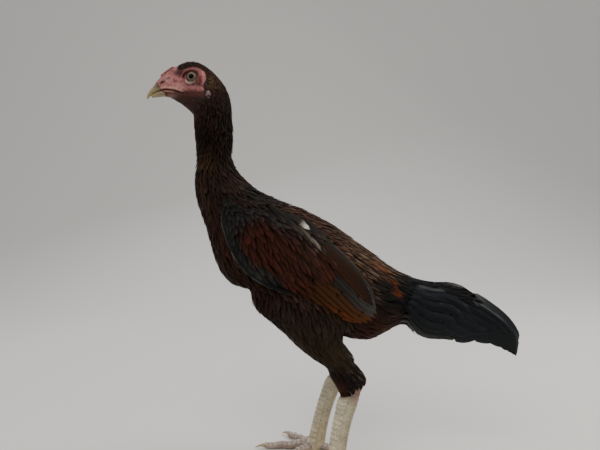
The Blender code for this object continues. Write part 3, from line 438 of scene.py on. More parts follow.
# head: the skin is drawn out and pressed in by named forms, each a place of the side view
eyePlace = np.array((-0.1712, 0.4966))
headForms = {
    "eyeRadius": 0.0078, "eyeBulge": 0.0019, "opening": 0.0063, "lid": 0.0072,
    "mouth": [(-0.2133, 0.4852), (-0.2040, 0.4842), (-0.1930, 0.4812), (-0.1835, 0.4772)],
    "gape": [(-0.2130, 0.4872), (-0.2035, 0.4866), (-0.1925, 0.4838), (-0.1822, 0.4790)],
    "lowerLip": [(-0.2100, 0.4834), (-0.2020, 0.4822), (-0.1925, 0.4790), (-0.1840, 0.4752)],
    "jawFold": [(-0.2000, 0.4775), (-0.1900, 0.4735), (-0.1790, 0.4690), (-0.1690, 0.4660)],
    "nostril": (-0.2112, 0.4934), "lobe": (-0.1510, 0.4745), "ear": (-0.1478, 0.4880),
    "combStart": (-0.2128, 0.5026), "combEnd": (-0.1955, 0.5130),
    "featherEdge": [(-0.1995, 0.5300), (-0.1937, 0.5150), (-0.1893, 0.5052), (-0.1776, 0.5064), (-0.1707, 0.5091),
                    (-0.1618, 0.5076), (-0.1570, 0.5036), (-0.1542, 0.4980), (-0.1546, 0.4925), (-0.1575, 0.4860),
                    (-0.1565, 0.4790), (-0.1560, 0.4690),
                    (-0.1682, 0.4632), (-0.1743, 0.4579), (-0.1770, 0.4400)],
}


def lineDistance(points, line, signed=False):
    # distance in the side view to a bent line, and which side of it a point lies on
    line = np.asarray(line, float)
    best = np.full(len(points), 9.0)
    share = np.zeros(len(points))
    where = np.zeros(len(points))
    for n in range(len(line) - 1):
        start, run = line[n], line[n + 1] - line[n]
        s = np.clip(((points - start) @ run) / (run @ run), 0, 1)
        off = points - start - s[:, None] * run
        d = np.linalg.norm(off, axis=1)
        closer = d < best
        best = np.where(closer, d, best)
        share = np.where(closer, (n + s) / (len(line) - 1), share)
        where = np.where(closer, np.sign(run[0] * off[:, 1] - run[1] * off[:, 0]), where)
    return (best * where if signed else best), share


def bump(distance, wide):
    return np.exp(-(distance / wide) ** 2)


def waves(points, scale, seed):
    # smooth noise from a few turned sine waves
    local = np.random.default_rng(seed)
    made = np.zeros(len(points))
    for _ in range(7):
        way = local.normal(size=3)
        way /= np.linalg.norm(way)
        made += np.sin(points @ way * (2 * math.pi / scale) * local.uniform(0.7, 1.5) + local.uniform(0, 6.3))
    return made / 3.5


skinEnd = 26.0


def feathered(points, first=-0.0012, full=0.0030):
    # 0 on bare skin and 1 where feathers grow
    edge, _ = lineDistance(points[:, [0, 2]], headForms["featherEdge"], True)
    return np.where(points[:, 2] < 0.455, 1.0, smooth(first, full, edge))


def eyeDistance(side):
    # distance to the middle of the eye, less towards the front corner and the lower lid, where the opening is wide
    offset = side - eyePlace
    turned = np.stack([offset[:, 0] * 0.985 + offset[:, 1] * 0.17, -offset[:, 0] * 0.17 + offset[:, 1] * 0.985], -1)
    wide = 1.0 * (1 + 0.26 * smooth(0.0, 0.008, -turned[:, 0]))
    tall = 0.89 + 0.08 * smooth(0.0, 0.006, -turned[:, 1])
    return np.hypot(turned[:, 0] / wide, turned[:, 1] / tall), turned


def coatDepth(points, t):
    grown = feathered(points)
    return grown * (0.0006 + 0.0018 * smooth(6.0, 10.0, t) + 0.0022 * smooth(12.5, 16.5, t)
                    + 0.0060 * smooth(24.0, skinEnd, t))


def shapeHead(points, normal, t):
    side = points[:, [0, 2]]
    across = np.abs(points[:, 1])
    flank = smooth(0.002, 0.006, across)
    shift = np.zeros(len(points))
    r, turned = eyeDistance(side)
    ball, bulge = headForms["eyeRadius"], headForms["eyeBulge"]
    near = np.minimum(np.linalg.norm(turned, axis=1), ball * 0.985)
    cup = bulge - ball + np.sqrt(ball ** 2 - near ** 2) + 0.0007
    cup = np.where(r < headForms["opening"], cup - 0.0030 * smooth(headForms["opening"], 0.0052, r), cup)
    shift += np.where(r < 0.0110, cup * (1 - smooth(0.0076, 0.0110, r)), 0) * flank
    shift += (0.0006 * bump(r - headForms["lid"], 0.0007) - 0.0005 * bump(r - 0.0088, 0.0006)
              + 0.0007 * bump(r - 0.0103, 0.0008) - 0.0005 * bump(r - 0.0119, 0.0007)
              + 0.0004 * bump(r - 0.0132, 0.0009)) * flank
    over = smooth(0.2, 0.9, turned[:, 1] / np.maximum(r, 1e-4))
    shift += 0.0010 * bump(r - 0.0118, 0.0020) * over * flank
    for key, size, wide in (("gape", 0.0010, 0.0009), ("mouth", -0.0019, 0.00065), ("lowerLip", 0.0008, 0.0010),
                            ("jawFold", 0.0011, 0.0013)):
        d, share = lineDistance(side, headForms[key])
        shift += size * bump(d, wide) * smooth(0.0, 0.06, share) * (1 - 0.6 * smooth(0.8, 1.0, share)) * flank
    offset = side - np.array(headForms["nostril"])
    a, b = offset[:, 0] * 0.96 + offset[:, 1] * 0.28, -offset[:, 0] * 0.28 + offset[:, 1] * 0.96
    shift += (0.0009 * bump(np.hypot(a / 1.5, b - 0.0014), 0.0014) - 0.0022 * bump(np.hypot(a / 4.2, b), 0.00075)) * flank
    offset = side - np.array(headForms["lobe"])
    shift += 0.0018 * smooth(1.0, 0.3, np.hypot(offset[:, 0] / 0.0032, offset[:, 1] / 0.0044)) * flank
    offset = side - np.array(headForms["ear"])
    r = np.hypot(offset[:, 0], offset[:, 1])
    shift += (0.0009 * bump(r - 0.0042, 0.0012) - 0.0022 * bump(r, 0.0022)) * flank
    first, last = np.array(headForms["combStart"]), np.array(headForms["combEnd"])
    run = last - first
    share = ((side - first) @ run) / (run @ run)
    over = smooth(-0.10, 0.08, share) * smooth(1.10, 0.9, share) * smooth(0.0078, 0.0052, across)
    over *= smooth(0.489, 0.496, points[:, 2])
    bulbs = np.zeros(len(points))
    for row, count in ((0.0, 6), (0.0044, 5)):
        for n in range(count):
            centre = first + run * ((n + 0.5 + 0.15 * math.sin(5 * n + row * 900)) / count)
            d = np.hypot(np.linalg.norm(side - centre, axis=1) * 0.9, (across - row) * 1.0)
            bulbs = np.maximum(bulbs, np.sqrt(np.maximum(1 - (d / 0.0029) ** 2, 0)) * (1.0 - 0.2 * (row > 0)))
    shift += over * (0.0006 + 0.0027 * bulbs)
    bare = 1 - feathered(points)
    fold = bare * smooth(0.4850, 0.4790, points[:, 2])
    slope = (side[:, 1] + 0.52 * side[:, 0]) + 0.0007 * waves(points, 0.012, 3)
    shift += 0.00024 * fold * np.sin(slope * 2 * math.pi / 0.0036 + 1.2 * waves(points, 0.006, 8)) * flank
    shift += bare * (0.00022 * waves(points, 0.0042, 5) + 0.00016 * waves(points, 0.0019, 6)) * smooth(0.0068, 0.0085, np.hypot(*(side - eyePlace).T))
    return points + normal * shift[:, None]


# colour, place, width, height and strength
faceSpots = [
    ("b98884", (-0.2060, 0.4985), 0.0075, 0.0090, 0.7), ("b98884", (-0.1915, 0.4865), 0.0090, 0.0045, 0.8),
    ("c59692", (-0.1844, 0.4822), 0.0042, 0.0022, 0.8), ("2c1512", (-0.1880, 0.5038), 0.0085, 0.0046, 0.90),
    ("3a1b19", (-0.1845, 0.5018), 0.0062, 0.0042, 0.85), ("a5706b", (-0.1900, 0.4950), 0.0030, 0.0022, 0.6),
    ("5a1114", (-0.1604, 0.4925), 0.0026, 0.0056, 1.0), ("45100f", (-0.1622, 0.4874), 0.0036, 0.0034, 0.95),
    ("c07f7b", (-0.1600, 0.5000), 0.0018, 0.0016, 0.8), ("b5736f", (-0.1572, 0.4950), 0.0019, 0.0022, 0.8),
    ("b5827c", (-0.1552, 0.4912), 0.0020, 0.0022, 0.8), ("5c3a35", (-0.1690, 0.4862), 0.0100, 0.0034, 0.75),
    ("5c332e", (-0.1740, 0.5085), 0.0140, 0.0030, 0.6), ("6b4a3e", (-0.2110, 0.4935), 0.0050, 0.0040, 0.5)]


def zoneOf(side, place, wide, tall):
    return np.exp(-((side[:, 0] - place[0]) / wide) ** 2 - ((side[:, 1] - place[1]) / tall) ** 2)


def paintSkin(points, t):
    # mottled pink and maroon face, pink gape skin with a painted highlight along its ridge, pale lid, dark folded
    # throat, and the coat's own ground colour under it
    side = points[:, [0, 2]]
    r, turned = eyeDistance(side)
    cloud, grain = waves(points, 0.0100, 9), waves(points, 0.0042, 12)
    made = np.broadcast_to(rgb("b67373"), (len(points), 3)).copy()
    for colour, place, wide, tall, strength in faceSpots:
        made = mix(made, rgb(colour), zoneOf(side, place, wide, tall) * strength)
    made = mix(made, rgb("3f1f1d"), np.clip(0.13 + 0.30 * cloud + 0.30 * grain, 0, 0.65))
    low = side[:, 1] + 0.10 * (side[:, 0] + 0.18) + 0.0010 * cloud
    made = mix(made, rgb("3c1c17"), smooth(0.4838, 0.4782, low) * 0.92)
    made = mix(made, rgb("2a170f"), smooth(0.4760, 0.4700, low) * 0.9)
    made = mix(made, rgb("8a6a5e"), zoneOf(side, (-0.2010, 0.4770), 0.0080, 0.0026) * 0.7)
    upper = smooth(-0.10, 0.45, turned[:, 1] / np.maximum(r, 1e-4))
    lower = 1 - smooth(-0.55, 0.05, turned[:, 1] / np.maximum(r, 1e-4))
    made = mix(made, rgb("441a1b"), (bump(r - 0.0096, 0.0009) + 0.6 * bump(r - 0.0125, 0.0009)) * upper * 0.85)
    made = mix(made, rgb("8d5c58"), bump(r - 0.0081, 0.0008) * (1 - lower) * 0.8)
    made = mix(made, rgb("8f5f5b"), bump(r - 0.0110, 0.0007) * upper * 0.7)
    # painted shade: the skin that sinks in under the lid's rim, round the eyeball, is darkened
    made = mix(made, rgb("3f2c26"), smooth(0.0071, 0.0062, r))
    made = mix(made, rgb("c9b7ab"), bump(r - 0.0077, 0.0010) * lower * smooth(0.0060, -0.0010, turned[:, 0]))
    made = mix(made, rgb("4a332b"), bump(r - 0.0100, 0.0011) * lower * 0.6)
    # the pale line along the gape is a painted highlight on the ridge of its pink skin
    for line, colour, wide, end in (("gape", "bd8d83", 0.0011, 0.95), ("lowerLip", "a67a6e", 0.0008, 0.55)):
        d, share = lineDistance(side, headForms[line])
        made = mix(made, rgb(colour), bump(d, wide) * smooth(0.0, 0.1, share) * smooth(end + 0.06, end - 0.1, share) * 0.95)
    # painted shade: the groove of the mouth is darkened almost to black
    mouth, share = lineDistance(side, headForms["mouth"])
    made = mix(made, rgb("1a0a0a"), bump(mouth, 0.0008) * 0.9)
    # painted shade: the nostril's hollow is darkened
    offset = side - np.array(headForms["nostril"])
    a, b = offset[:, 0] * 0.96 + offset[:, 1] * 0.28, -offset[:, 0] * 0.28 + offset[:, 1] * 0.96
    made = mix(made, rgb("1c0d0b"), bump(np.hypot(a / 4.2, b), 0.0009))
    first, last = np.array(headForms["combStart"]), np.array(headForms["combEnd"])
    run = last - first
    share = ((side - first) @ run) / (run @ run)
    comb = smooth(-0.1, 0.1, share) * smooth(1.15, 0.9, share) * smooth(0.0090, 0.0060, np.abs(points[:, 1])) * (points[:, 2] > 0.492)
    made = mix(made, mix(rgb("5c2a28"), rgb("a5615d"), smooth(-0.5, 0.7, grain + 0.4 * cloud)), comb * 0.85)
    offset = side - np.array(headForms["lobe"])
    made = mix(made, rgb("1b110d"), smooth(0.0, 0.9, feathered(points)))
    lobe = smooth(1.0, 0.3, np.hypot(offset[:, 0] / 0.0042, offset[:, 1] / 0.0058) + 0.25 * grain)
    made = mix(made, rgb("8d7073"), lobe * 0.85)
    return made


def makeSkin():
    head = np.linspace(-0.0, 8.0, 210)
    body = np.linspace(8.0, skinEnd, 110)[1:]
    stations = np.concatenate([head, body])
    around = 192
    t, angle = np.meshgrid(stations, np.arange(around) / around * 2 * math.pi, indexing="ij")
    t, angle = t.ravel(), angle.ravel()
    flat = trunk(t, angle)
    normal = normalOf(trunk, np.clip(t, 0.02, lastRow - 0.02), angle)
    points = flat - normal * coatDepth(flat, t)[:, None]
    inHead = t < 8.0
    points[inHead] = shapeHead(points[inHead], normal[inHead], t[inHead])
    tint = paintSkin(flat, t)
    rows = len(stations)
    ends = np.array([points[:around].mean(0), points[-around:].mean(0)])
    points = np.vstack([points, ends])
    tint = np.vstack([tint, tint[:1], tint[-1:]])
    quads = gridFaces(rows, around, True)
    firstEnd, lastEnd = rows * around, rows * around + 1
    caps = []
    for k in range(around):
        n = (k + 1) % around
        caps.append((firstEnd, k, n))
        caps.append((lastEnd, (rows - 1) * around + n, (rows - 1) * around + k))
    triangles = np.vstack([quads[:, [0, 1, 2]], quads[:, [0, 2, 3]], np.array(caps)])
    made = meshFrom("skin", points, triangles, skinFinish, tint)
    extras = []
    for name, side in sides:
        surface = thigh(name, side)
        tt, aa = np.meshgrid(np.linspace(0.2, len(thighRows) - 1.0, 40), np.arange(40) / 40 * 2 * math.pi, indexing="ij")
        tt, aa = tt.ravel(), aa.ravel()
        spot = surface(tt, aa)
        out = normalOf(surface, np.clip(tt, 0.02, 8.98), aa, side)
        spot = spot - out * (0.0042 - 0.0034 * smooth(4.0, 9.0, tt))[:, None]
        spot = eased(np.vstack([spot, spot[:40].mean(0), spot[-40:].mean(0)]))
        quads = gridFaces(40, 40, True)
        caps = []
        for k in range(40):
            n = (k + 1) % 40
            caps += [(1600, k, n), (1601, 39 * 40 + n, 39 * 40 + k)]
        triangles = np.vstack([quads[:, [0, 1, 2]], quads[:, [0, 2, 3]], np.array(caps)])
        shade = np.broadcast_to(rgb("1b110d"), spot.shape)
        shade = mix(shade, rgb("8c6d62"), smooth(0.119, 0.113, spot[:, 2]) * smooth(0.004, 0.012, spot[:, 0]))
        extras.append(meshFrom("thighSkin", spot, triangles, skinFinish, shade))
    for extra in extras:
        bpy.ops.object.select_all(action="DESELECT")
        for piece in (made, extra):
            bpy.context.view_layer.objects.active = piece
            piece.select_set(True)
            bpy.ops.object.mode_set(mode="EDIT")
            bpy.ops.mesh.select_all(action="SELECT")
            bpy.ops.mesh.normals_make_consistent(inside=False)
            bpy.ops.object.mode_set(mode="OBJECT")
            piece.select_set(False)
        bpy.context.view_layer.objects.active = made
        join = made.modifiers.new("join", "BOOLEAN")
        join.operation = "UNION"
        join.solver = "MANIFOLD"
        join.object = extra
        bpy.ops.object.modifier_apply(modifier=join.name)
        bpy.data.objects.remove(extra)
    made.data.shade_smooth()
    return settle(made, "bare_skin", "head", "neck", "torso", "thigh_left", "thigh_right")


skin = makeSkin()
print("skin made")


# bill, eyes and claws are drawn out of a disc, ring by ring

def deselect():
    bpy.ops.object.select_all(action="DESELECT")


def drawOut(name, rows, corners, finish, rounds=1):
    # each row is x, z, half depth, half width and the slope of the ring's own upward direction
    deselect()
    x, z, depth, width, slope = rows[0]
    bpy.ops.mesh.primitive_circle_add(vertices=corners, radius=1.0, fill_type="NGON", location=(x, 0, z),
                                      rotation=(0, -slope, 0), scale=(1, 1, 1))
    made = bpy.context.object
    made.name = made.data.name = name
    made.scale = (depth, width, 1.0)
    bpy.ops.object.transform_apply(location=True, rotation=True, scale=True)
    bpy.ops.object.mode_set(mode="EDIT")
    bpy.ops.mesh.select_all(action="SELECT")
    for n in range(1, len(rows)):
        nextX, nextZ, nextDepth, nextWidth, nextSlope = rows[n]
        bpy.ops.mesh.extrude_region_move(TRANSFORM_OT_translate={"value": (nextX - x, 0, nextZ - z)})
        bpy.ops.transform.resize(value=(nextDepth / depth, nextWidth / width, nextDepth / depth),
                                 center_override=(nextX, 0, nextZ))
        if abs(nextSlope - slope) > 1e-5:
            bpy.ops.transform.rotate(value=nextSlope - slope, orient_axis="Y", center_override=(nextX, 0, nextZ))
        x, z, depth, width, slope = nextX, nextZ, nextDepth, nextWidth, nextSlope
    bpy.ops.mesh.select_all(action="SELECT")
    bpy.ops.mesh.normals_make_consistent(inside=False)
    bpy.ops.object.mode_set(mode="OBJECT")
    if rounds:
        rounder = made.modifiers.new("round", "SUBSURF")
        rounder.levels = rounder.render_levels = rounds
        bpy.ops.object.modifier_apply(modifier=rounder.name)
    made.data.shade_smooth()
    made.data.materials.clear()
    made.data.materials.append(finish)
    return made


def places(obj):
    made = np.empty(len(obj.data.vertices) * 3)
    obj.data.vertices.foreach_get("co", made)
    return made.reshape(-1, 3)


def paint(obj, shades, grain=None):
    mesh = obj.data
    layer = mesh.attributes.get("tint") or mesh.attributes.new("tint", "FLOAT_COLOR", "POINT")
    full = np.ones((len(mesh.vertices), 4), np.float32)
    full[:, :3] = shades
    layer.data.foreach_set("color", full.ravel())
    if grain is not None:
        corner = np.empty(len(mesh.loops), np.int32)
        mesh.loops.foreach_get("vertex_index", corner)
        mapping = mesh.uv_layers.get("grain") or mesh.uv_layers.new(name="grain")
        mapping.data.foreach_set("uv", np.asarray(grain, np.float32)[corner].ravel())
    return obj


# upper x, upper z, lower x, lower z, half width of each half, from root to tip
billRows = {
    "upper": [(-0.2180, 0.5010, -0.2110, 0.4862, 0.0074), (-0.2222, 0.4952, -0.2160, 0.4852, 0.0064),
              (-0.2255, 0.4912, -0.2200, 0.4838, 0.0052), (-0.2290, 0.4875, -0.2245, 0.4822, 0.0039),
              (-0.2322, 0.4830, -0.2288, 0.4800, 0.0026), (-0.2338, 0.4780, -0.2318, 0.4765, 0.0014),
              (-0.2334, 0.4752, -0.2326, 0.4750, 0.0006)],
    "lower": [(-0.2095, 0.4850, -0.2075, 0.4786, 0.0064), (-0.2162, 0.4850, -0.2140, 0.4781, 0.0055),
              (-0.2203, 0.4840, -0.2185, 0.4777, 0.0045), (-0.2244, 0.4826, -0.2230, 0.4773, 0.0033),
              (-0.2284, 0.4804, -0.2275, 0.4768, 0.0016)],
}


def ovalRows(table, count):
    # centre, half sizes and slope of the rings of a table of upper and lower points
    made = []
    for t in np.linspace(0, len(table) - 1.0, count):
        row = curve(table, t)
        up = np.array((row[0] - row[2], row[1] - row[3]))
        made.append(((row[0] + row[2]) / 2, (row[1] + row[3]) / 2, np.hypot(*up) / 2, row[4], math.atan2(up[1], up[0])))
    return made


def makeBill():
    for half, table in billRows.items():
        made = drawOut("bill_" + half + "_horn", ovalRows(table, 15 if half == "upper" else 11), 24, billFinish)
        points = places(made)
        toTip = smooth(-0.212, -0.233, points[:, 0])
        shade = mix(rgb("d0c7b4"), rgb("fff6d8"), toTip)
        if half == "upper":
            ridge = smooth(0.0026, 0.0, np.abs(points[:, 1])) * smooth(0.002, 0.006, points[:, 2] - 0.482)
            shade = mix(shade, rgb("9c8c68"), ridge * 0.5)
            shade = mix(shade, rgb("6b4f42"), smooth(-0.2235, -0.2165, points[:, 0]) * smooth(0.4860, 0.4900, points[:, 2]) * 0.85)
        # keeled, with the cutting edge drawn in a little below
        points[:, 1] *= 1 - 0.12 * smooth(0.45, 1.0, np.abs(points[:, 1]) / 0.007) * (half == "upper")
        made.data.vertices.foreach_set("co", points.ravel())
        paint(made, shade, np.stack([points[:, 1] / 0.006, points[:, 0] / 0.02], -1))
        settle(made, "bill_horn", "bill_" + half)


eyeLook = {"pupil": 0.0031, "iris": 0.0056, "forward": 0.03}


def makeEye(name, side):
    place = np.array((eyePlace[0], 0, eyePlace[1]))
    ring = trunk(np.linspace(0.5, 7.5, 400)[:, None], np.linspace(0.3, 2.8, 300)[None])
    near = np.argmin(np.hypot(ring[..., 0] - place[0], ring[..., 2] - place[2]))
    half = ring.reshape(-1, 3)[near, 1]
    radius = headForms["eyeRadius"]
    centre = np.array((place[0], side * (half + headForms["eyeBulge"] - radius), place[2]))
    deselect()
    bpy.ops.mesh.primitive_uv_sphere_add(segments=72, ring_count=48, radius=radius, location=centre,
                                         rotation=(math.pi / 2, 0, 0))
    made = bpy.context.object
    made.name = made.data.name = "eyeball_" + name
    bpy.ops.object.transform_apply(location=True, rotation=True, scale=True)
    points = places(made)
    gaze = unit(np.array((-eyeLook["forward"], side, 0.0)))
    off = points - centre
    ahead = off @ gaze
    r = np.linalg.norm(off - ahead[:, None] * gaze, axis=1)
    r = np.where(ahead > 0, r, 0.02)
    shade = mix(rgb("0a0201"), rgb("564a3f"), smooth(eyeLook["pupil"] - 0.0003, eyeLook["pupil"] + 0.0002, r))
    shade = mix(shade, rgb("7b6c60"), bump(r - 0.0043, 0.0008) * (0.65 + 0.35 * np.clip(off[:, 2] / 0.004, -1, 1)))
    shade = mix(shade, rgb("57514a"), smooth(0.0047, eyeLook["iris"], r) * 0.9)
    shade = mix(shade, rgb("2a211d"), smooth(eyeLook["iris"], 0.0063, r))
    # the cornea stands out a little over the iris
    points += gaze * (0.0006 * smooth(0.0056, 0.0, r) * (ahead > 0))[:, None]
    made.data.vertices.foreach_set("co", points.ravel())
    made.data.shade_smooth()
    made.data.materials.append(eyeFinish)
    paint(made, shade)
    settle(made, "eye", "eye_" + name)


makeBill()
for sideName, sideSign in sides:
    makeEye(sideName, sideSign)
print("bill and eyes made")


# legs: share of the way from hock to sole, half depth, half width
shankRows = np.array([
    (0.00, 0.0130, 0.0098), (0.10, 0.0120, 0.0092), (0.24, 0.0104, 0.0076), (0.45, 0.0098, 0.0068),
    (0.68, 0.0098, 0.0070), (0.84, 0.0104, 0.0086), (0.93, 0.0112, 0.0100), (1.00, 0.0098, 0.0088)])
# toes: length to the claw, angle outwards, radius at the root, plates, pads
toeForms = {
    "middle": (0.0690, 4.0, 0.0066, 9, 3), "inner": (0.0500, -36.0, 0.0061, 6, 2),
    "outer": (0.0530, 46.0, 0.0061, 7, 4), "hind": (0.0290, -158.0, 0.0052, 4, 1),
}
legForms = {
    "ankle": {"left": -0.0120, "right": -0.0335}, "spread": 0.038, "plates": 15, "plated": (0.03, 0.90),
    "bow": 0.0035, "raise": 0.0013, "toeStart": 0.004, "toeRaise": 0.0008, "toeRise": 0.0035, "hindRise": 0.006,
    "padSink": 0.0007, "clawLength": 0.0130, "clawRadius": 0.0029,
}


def tiles(value):
    # a row of overlapping plates: each rises slowly and ends in a step, and its groove is dark
    local = value - np.floor(value)
    height = smooth(0.0, 0.75, local) * smooth(1.0, 0.90, local)
    dark = 1 - np.minimum(smooth(0.0, 0.10, local), smooth(1.0, 0.93, local))
    return height, dark


def closedTube(name, grid, tint, finish):
    rows, columns = grid.shape[:2]
    flat = grid.reshape(-1, 3)
    quads = gridFaces(rows, columns, True)
    k = np.arange(columns)
    n = (k + 1) % columns
    first, last = rows * columns, rows * columns + 1
    base = (rows - 1) * columns
    caps = np.vstack([np.stack([first + 0 * k, n, k], -1), np.stack([last + 0 * k, base + k, base + n], -1)])
    points = np.vstack([flat, flat[:columns].mean(0), flat[-columns:].mean(0)])
    shades = tint.reshape(-1, 3)
    shades = np.vstack([shades, shades[:1], shades[-1:]])
    return meshFrom(name, points, np.vstack([quads[:, [0, 1, 2]], quads[:, [0, 2, 3]], caps]), finish, shades)


def outwards(obj):
    deselect()
    bpy.context.view_layer.objects.active = obj
    obj.select_set(True)
    bpy.ops.object.mode_set(mode="EDIT")
    bpy.ops.mesh.select_all(action="SELECT")
    bpy.ops.mesh.normals_make_consistent(inside=False)
    bpy.ops.object.mode_set(mode="OBJECT")
    obj.select_set(False)
    return obj


def joinInto(obj, others):
    outwards(obj)
    for other in others:
        outwards(other)
        bpy.context.view_layer.objects.active = obj
        step = obj.modifiers.new("join", "BOOLEAN")
        step.operation = "UNION"
        step.solver = "MANIFOLD"
        step.object = other
        bpy.ops.object.modifier_apply(modifier=step.name)
        old = other.data
        bpy.data.objects.remove(other)
        bpy.data.meshes.remove(old)
    obj.data.shade_smooth()
    return obj


def shankGrid(name, side):
    rear, front = np.array(thighRows[-1][0:2]), np.array(thighRows[-1][2:4])
    slant = unit(front - rear)
    down = np.array((-slant[1], slant[0]))
    down = down if down[1] < 0 else -down
    top = (rear + front) / 2 + np.array((stride[name], 0)) + down * 0.0003 - down * 0.004
    sole = np.array((legForms["ankle"][name], 0.0))
    share, angle = np.meshgrid(np.linspace(0, 1, 300), np.arange(72) / 72 * 2 * math.pi, indexing="ij")
    middle = top + (sole - top) * share[..., None]
    middle[..., 0] -= legForms["bow"] * np.sin(math.pi * np.minimum(share / 0.9, 1.0))
    ahead = mix(slant, np.array((-0.95, 0.29)), np.minimum(share / 0.2, 1.0))
    ahead = unit(mix(ahead, np.array((-1.0, 0.0)), np.clip((share - 0.75) / 0.15, 0, 1)))
    spot = np.interp(share, shankRows[:, 0], np.arange(len(shankRows)))
    row = curve(shankRows, spot)
    start, end = legForms["plated"]
    along = (share - start) / (end - start) * legForms["plates"]
    inPlates = smooth(start - 0.01, start + 0.01, share) * smooth(end + 0.02, end, share)
    turn = np.where(angle > math.pi, angle - 2 * math.pi, angle)
    frontHeight, frontDark = tiles(along + 0.5 * (turn > 0) + 0.13 * np.abs(turn))
    rearHeight, rearDark = tiles(along * 1.25 + 0.5 * (turn > 0) + 0.2)
    inFront = smooth(1.45, 1.25, np.abs(turn)) * smooth(0.0, 0.09, np.abs(turn))
    behind = smooth(2.05, 2.25, np.abs(turn)) * smooth(math.pi, math.pi - 0.10, np.abs(turn))
    lift = legForms["raise"] * inPlates * (inFront * (0.25 + 0.75 * frontHeight) + 0.7 * behind * (0.25 + 0.75 * rearHeight))
    points = np.zeros(share.shape + (3,))
    depth, width = row[..., 1] + lift, row[..., 2] + lift
    points[..., 0] = middle[..., 0] + ahead[..., 0] * np.cos(angle) * depth
    points[..., 2] = middle[..., 1] + ahead[..., 1] * np.cos(angle) * depth
    points[..., 1] = side * legForms["spread"] + np.sin(angle) * width
    points[..., 2] = np.maximum(points[..., 2], 0.0)
    dark = inPlates * np.maximum(inFront * frontDark, behind * rearDark)
    dark = np.maximum(dark, inPlates * 0.6 * bump(np.abs(turn) - 1.42 - 0.07 * np.sin(2 * math.pi * along), 0.06))
    dark = np.maximum(dark, inPlates * 0.6 * bump(turn, 0.06))
    tint = mix(rgb("d3c8ab"), rgb("b5a888"), smooth(1.2, 2.6, np.abs(turn)))
    tint = mix(tint, rgb("c9b489"), smooth(0.35, 0.9, share) * 0.5)
    tint = mix(tint, rgb("ddd2b2"), inPlates * inFront * frontHeight * 0.5)
    tint = mix(tint, rgb("6b5b44"), dark * 0.62)
    tint = mix(tint, rgb("8c6d62"), smooth(0.16, 0.04, share) * smooth(1.0, 2.0, np.abs(turn)) * 0.9)
    tint = mix(tint, rgb("5a4636"), smooth(0.07, 0.0, share) * 0.8)
    return points, tint


def toeGrid(name, side, kind):
    length, degrees, radius, plates, pads = toeForms[kind]
    turn = math.radians(degrees)
    ahead = np.array((-math.cos(turn), side * math.sin(turn), 0.0))
    across = np.cross(ahead, (0.0, 0.0, 1.0))
    ankle = np.array((legForms["ankle"][name], side * legForms["spread"], 0.0))
    distance, bend = np.meshgrid(np.linspace(legForms["toeStart"], length, 110), np.arange(44) / 44 * 2 * math.pi, indexing="ij")
    share = distance / length
    size = radius + (legForms["clawRadius"] + 0.0008 - radius) * share ** 0.8
    pad = np.cos(2 * math.pi * pads * share)
    height = size * (1.02 + 0.05 * pad) - legForms["padSink"] * (1 - 0.9 * pad) / 1.4
    if kind == "hind":
        height = height + legForms["hindRise"] * (1 - share) ** 2
    else:
        height = height + legForms["toeRise"] * (1 - np.minimum(share / 0.35, 1.0)) ** 2
    width = size * (1 - 0.06 * pad)
    plate, plateDark = tiles((distance - legForms["toeStart"]) / (length - legForms["toeStart"]) * (plates + 1))
    over = smooth(0.05, 0.45, np.sin(bend))
    under = smooth(-0.1, -0.6, np.sin(bend))
    lift = legForms["toeRaise"] * over * plate
    pebble = 0.0003 * under * np.sin(distance * 2 * math.pi / 0.0016) * np.cos(bend * 9)
    tip = 1 - 0.35 * smooth(0.95, 1.0, share)
    points = ankle + ahead * distance[..., None] + across * (np.cos(bend) * (width + 0.4 * lift) * tip)[..., None]
    points[..., 2] = np.maximum(height + np.sin(bend) * (size + lift) * tip + pebble, 0.0)
    dark = over * plateDark
    edge = bump(np.sin(bend) - 0.22, 0.10)
    tint = mix(rgb("b7a092"), rgb("a38d76"), under)
    tint = mix(tint, rgb("d3c9bb"), over * smooth(0.35, 0.9, plate) * 0.5)
    tint = mix(tint, rgb("5f4d40"), np.maximum(dark, 0.6 * edge) * 0.8)
    return points, tint, ankle + ahead * (length - 0.0012), ahead, float(height[-1, 0]), turn


def makeLegs():
    for name, side in sides:
        points, tint = shankGrid(name, side)
        leg = closedTube("leg_" + name, points, tint, scaleFinish)
        toes, clawSpots = [], []
        for kind in toeForms:
            points, tint, root, ahead, height, turn = toeGrid(name, side, kind)
            toes.append(closedTube("toe", points, tint, scaleFinish))
            clawSpots.append((kind, root, ahead, height))
        joinInto(leg, toes)
        settle(leg, "leg_scales", "shank_" + name, *("toe_" + kind + "_" + name for kind in toeForms))
        for kind, root, ahead, height in clawSpots:
            rows = []
            for share in np.linspace(0, 1, 9):
                z = height + 0.0008 * math.sin(math.pi * share) - (height - 0.0009) * share ** 1.6
                size = legForms["clawRadius"] + (0.0006 - legForms["clawRadius"]) * share ** 0.9
                rows.append((-(legForms["clawLength"] + 0.0012) * share, max(z, size + 0.0002), size, size * 0.8,
                             math.pi / 2 - 0.35 * share))
            claw = drawOut("claw_" + kind + "_" + name + "_horn", rows, 12, clawFinish)
            points = places(claw)
            shade = mix(rgb("f0e2c6"), rgb("8c765a"), smooth(-0.006, -0.0145, points[:, 0]) * 0.7)
            paint(claw, shade, np.stack([points[:, 1] / 0.004, points[:, 0] / 0.01], -1))
            claw.rotation_euler = (0, 0, math.atan2(-ahead[1], -ahead[0]))
            claw.location = (root[0], root[1], 0)
            deselect()
            claw.select_set(True)
            bpy.context.view_layer.objects.active = claw
            bpy.ops.object.transform_apply(location=True, rotation=True, scale=True)
            settle(claw, "claw_horn", "claw_" + kind + "_" + name)


makeLegs()
print("legs and claws made")


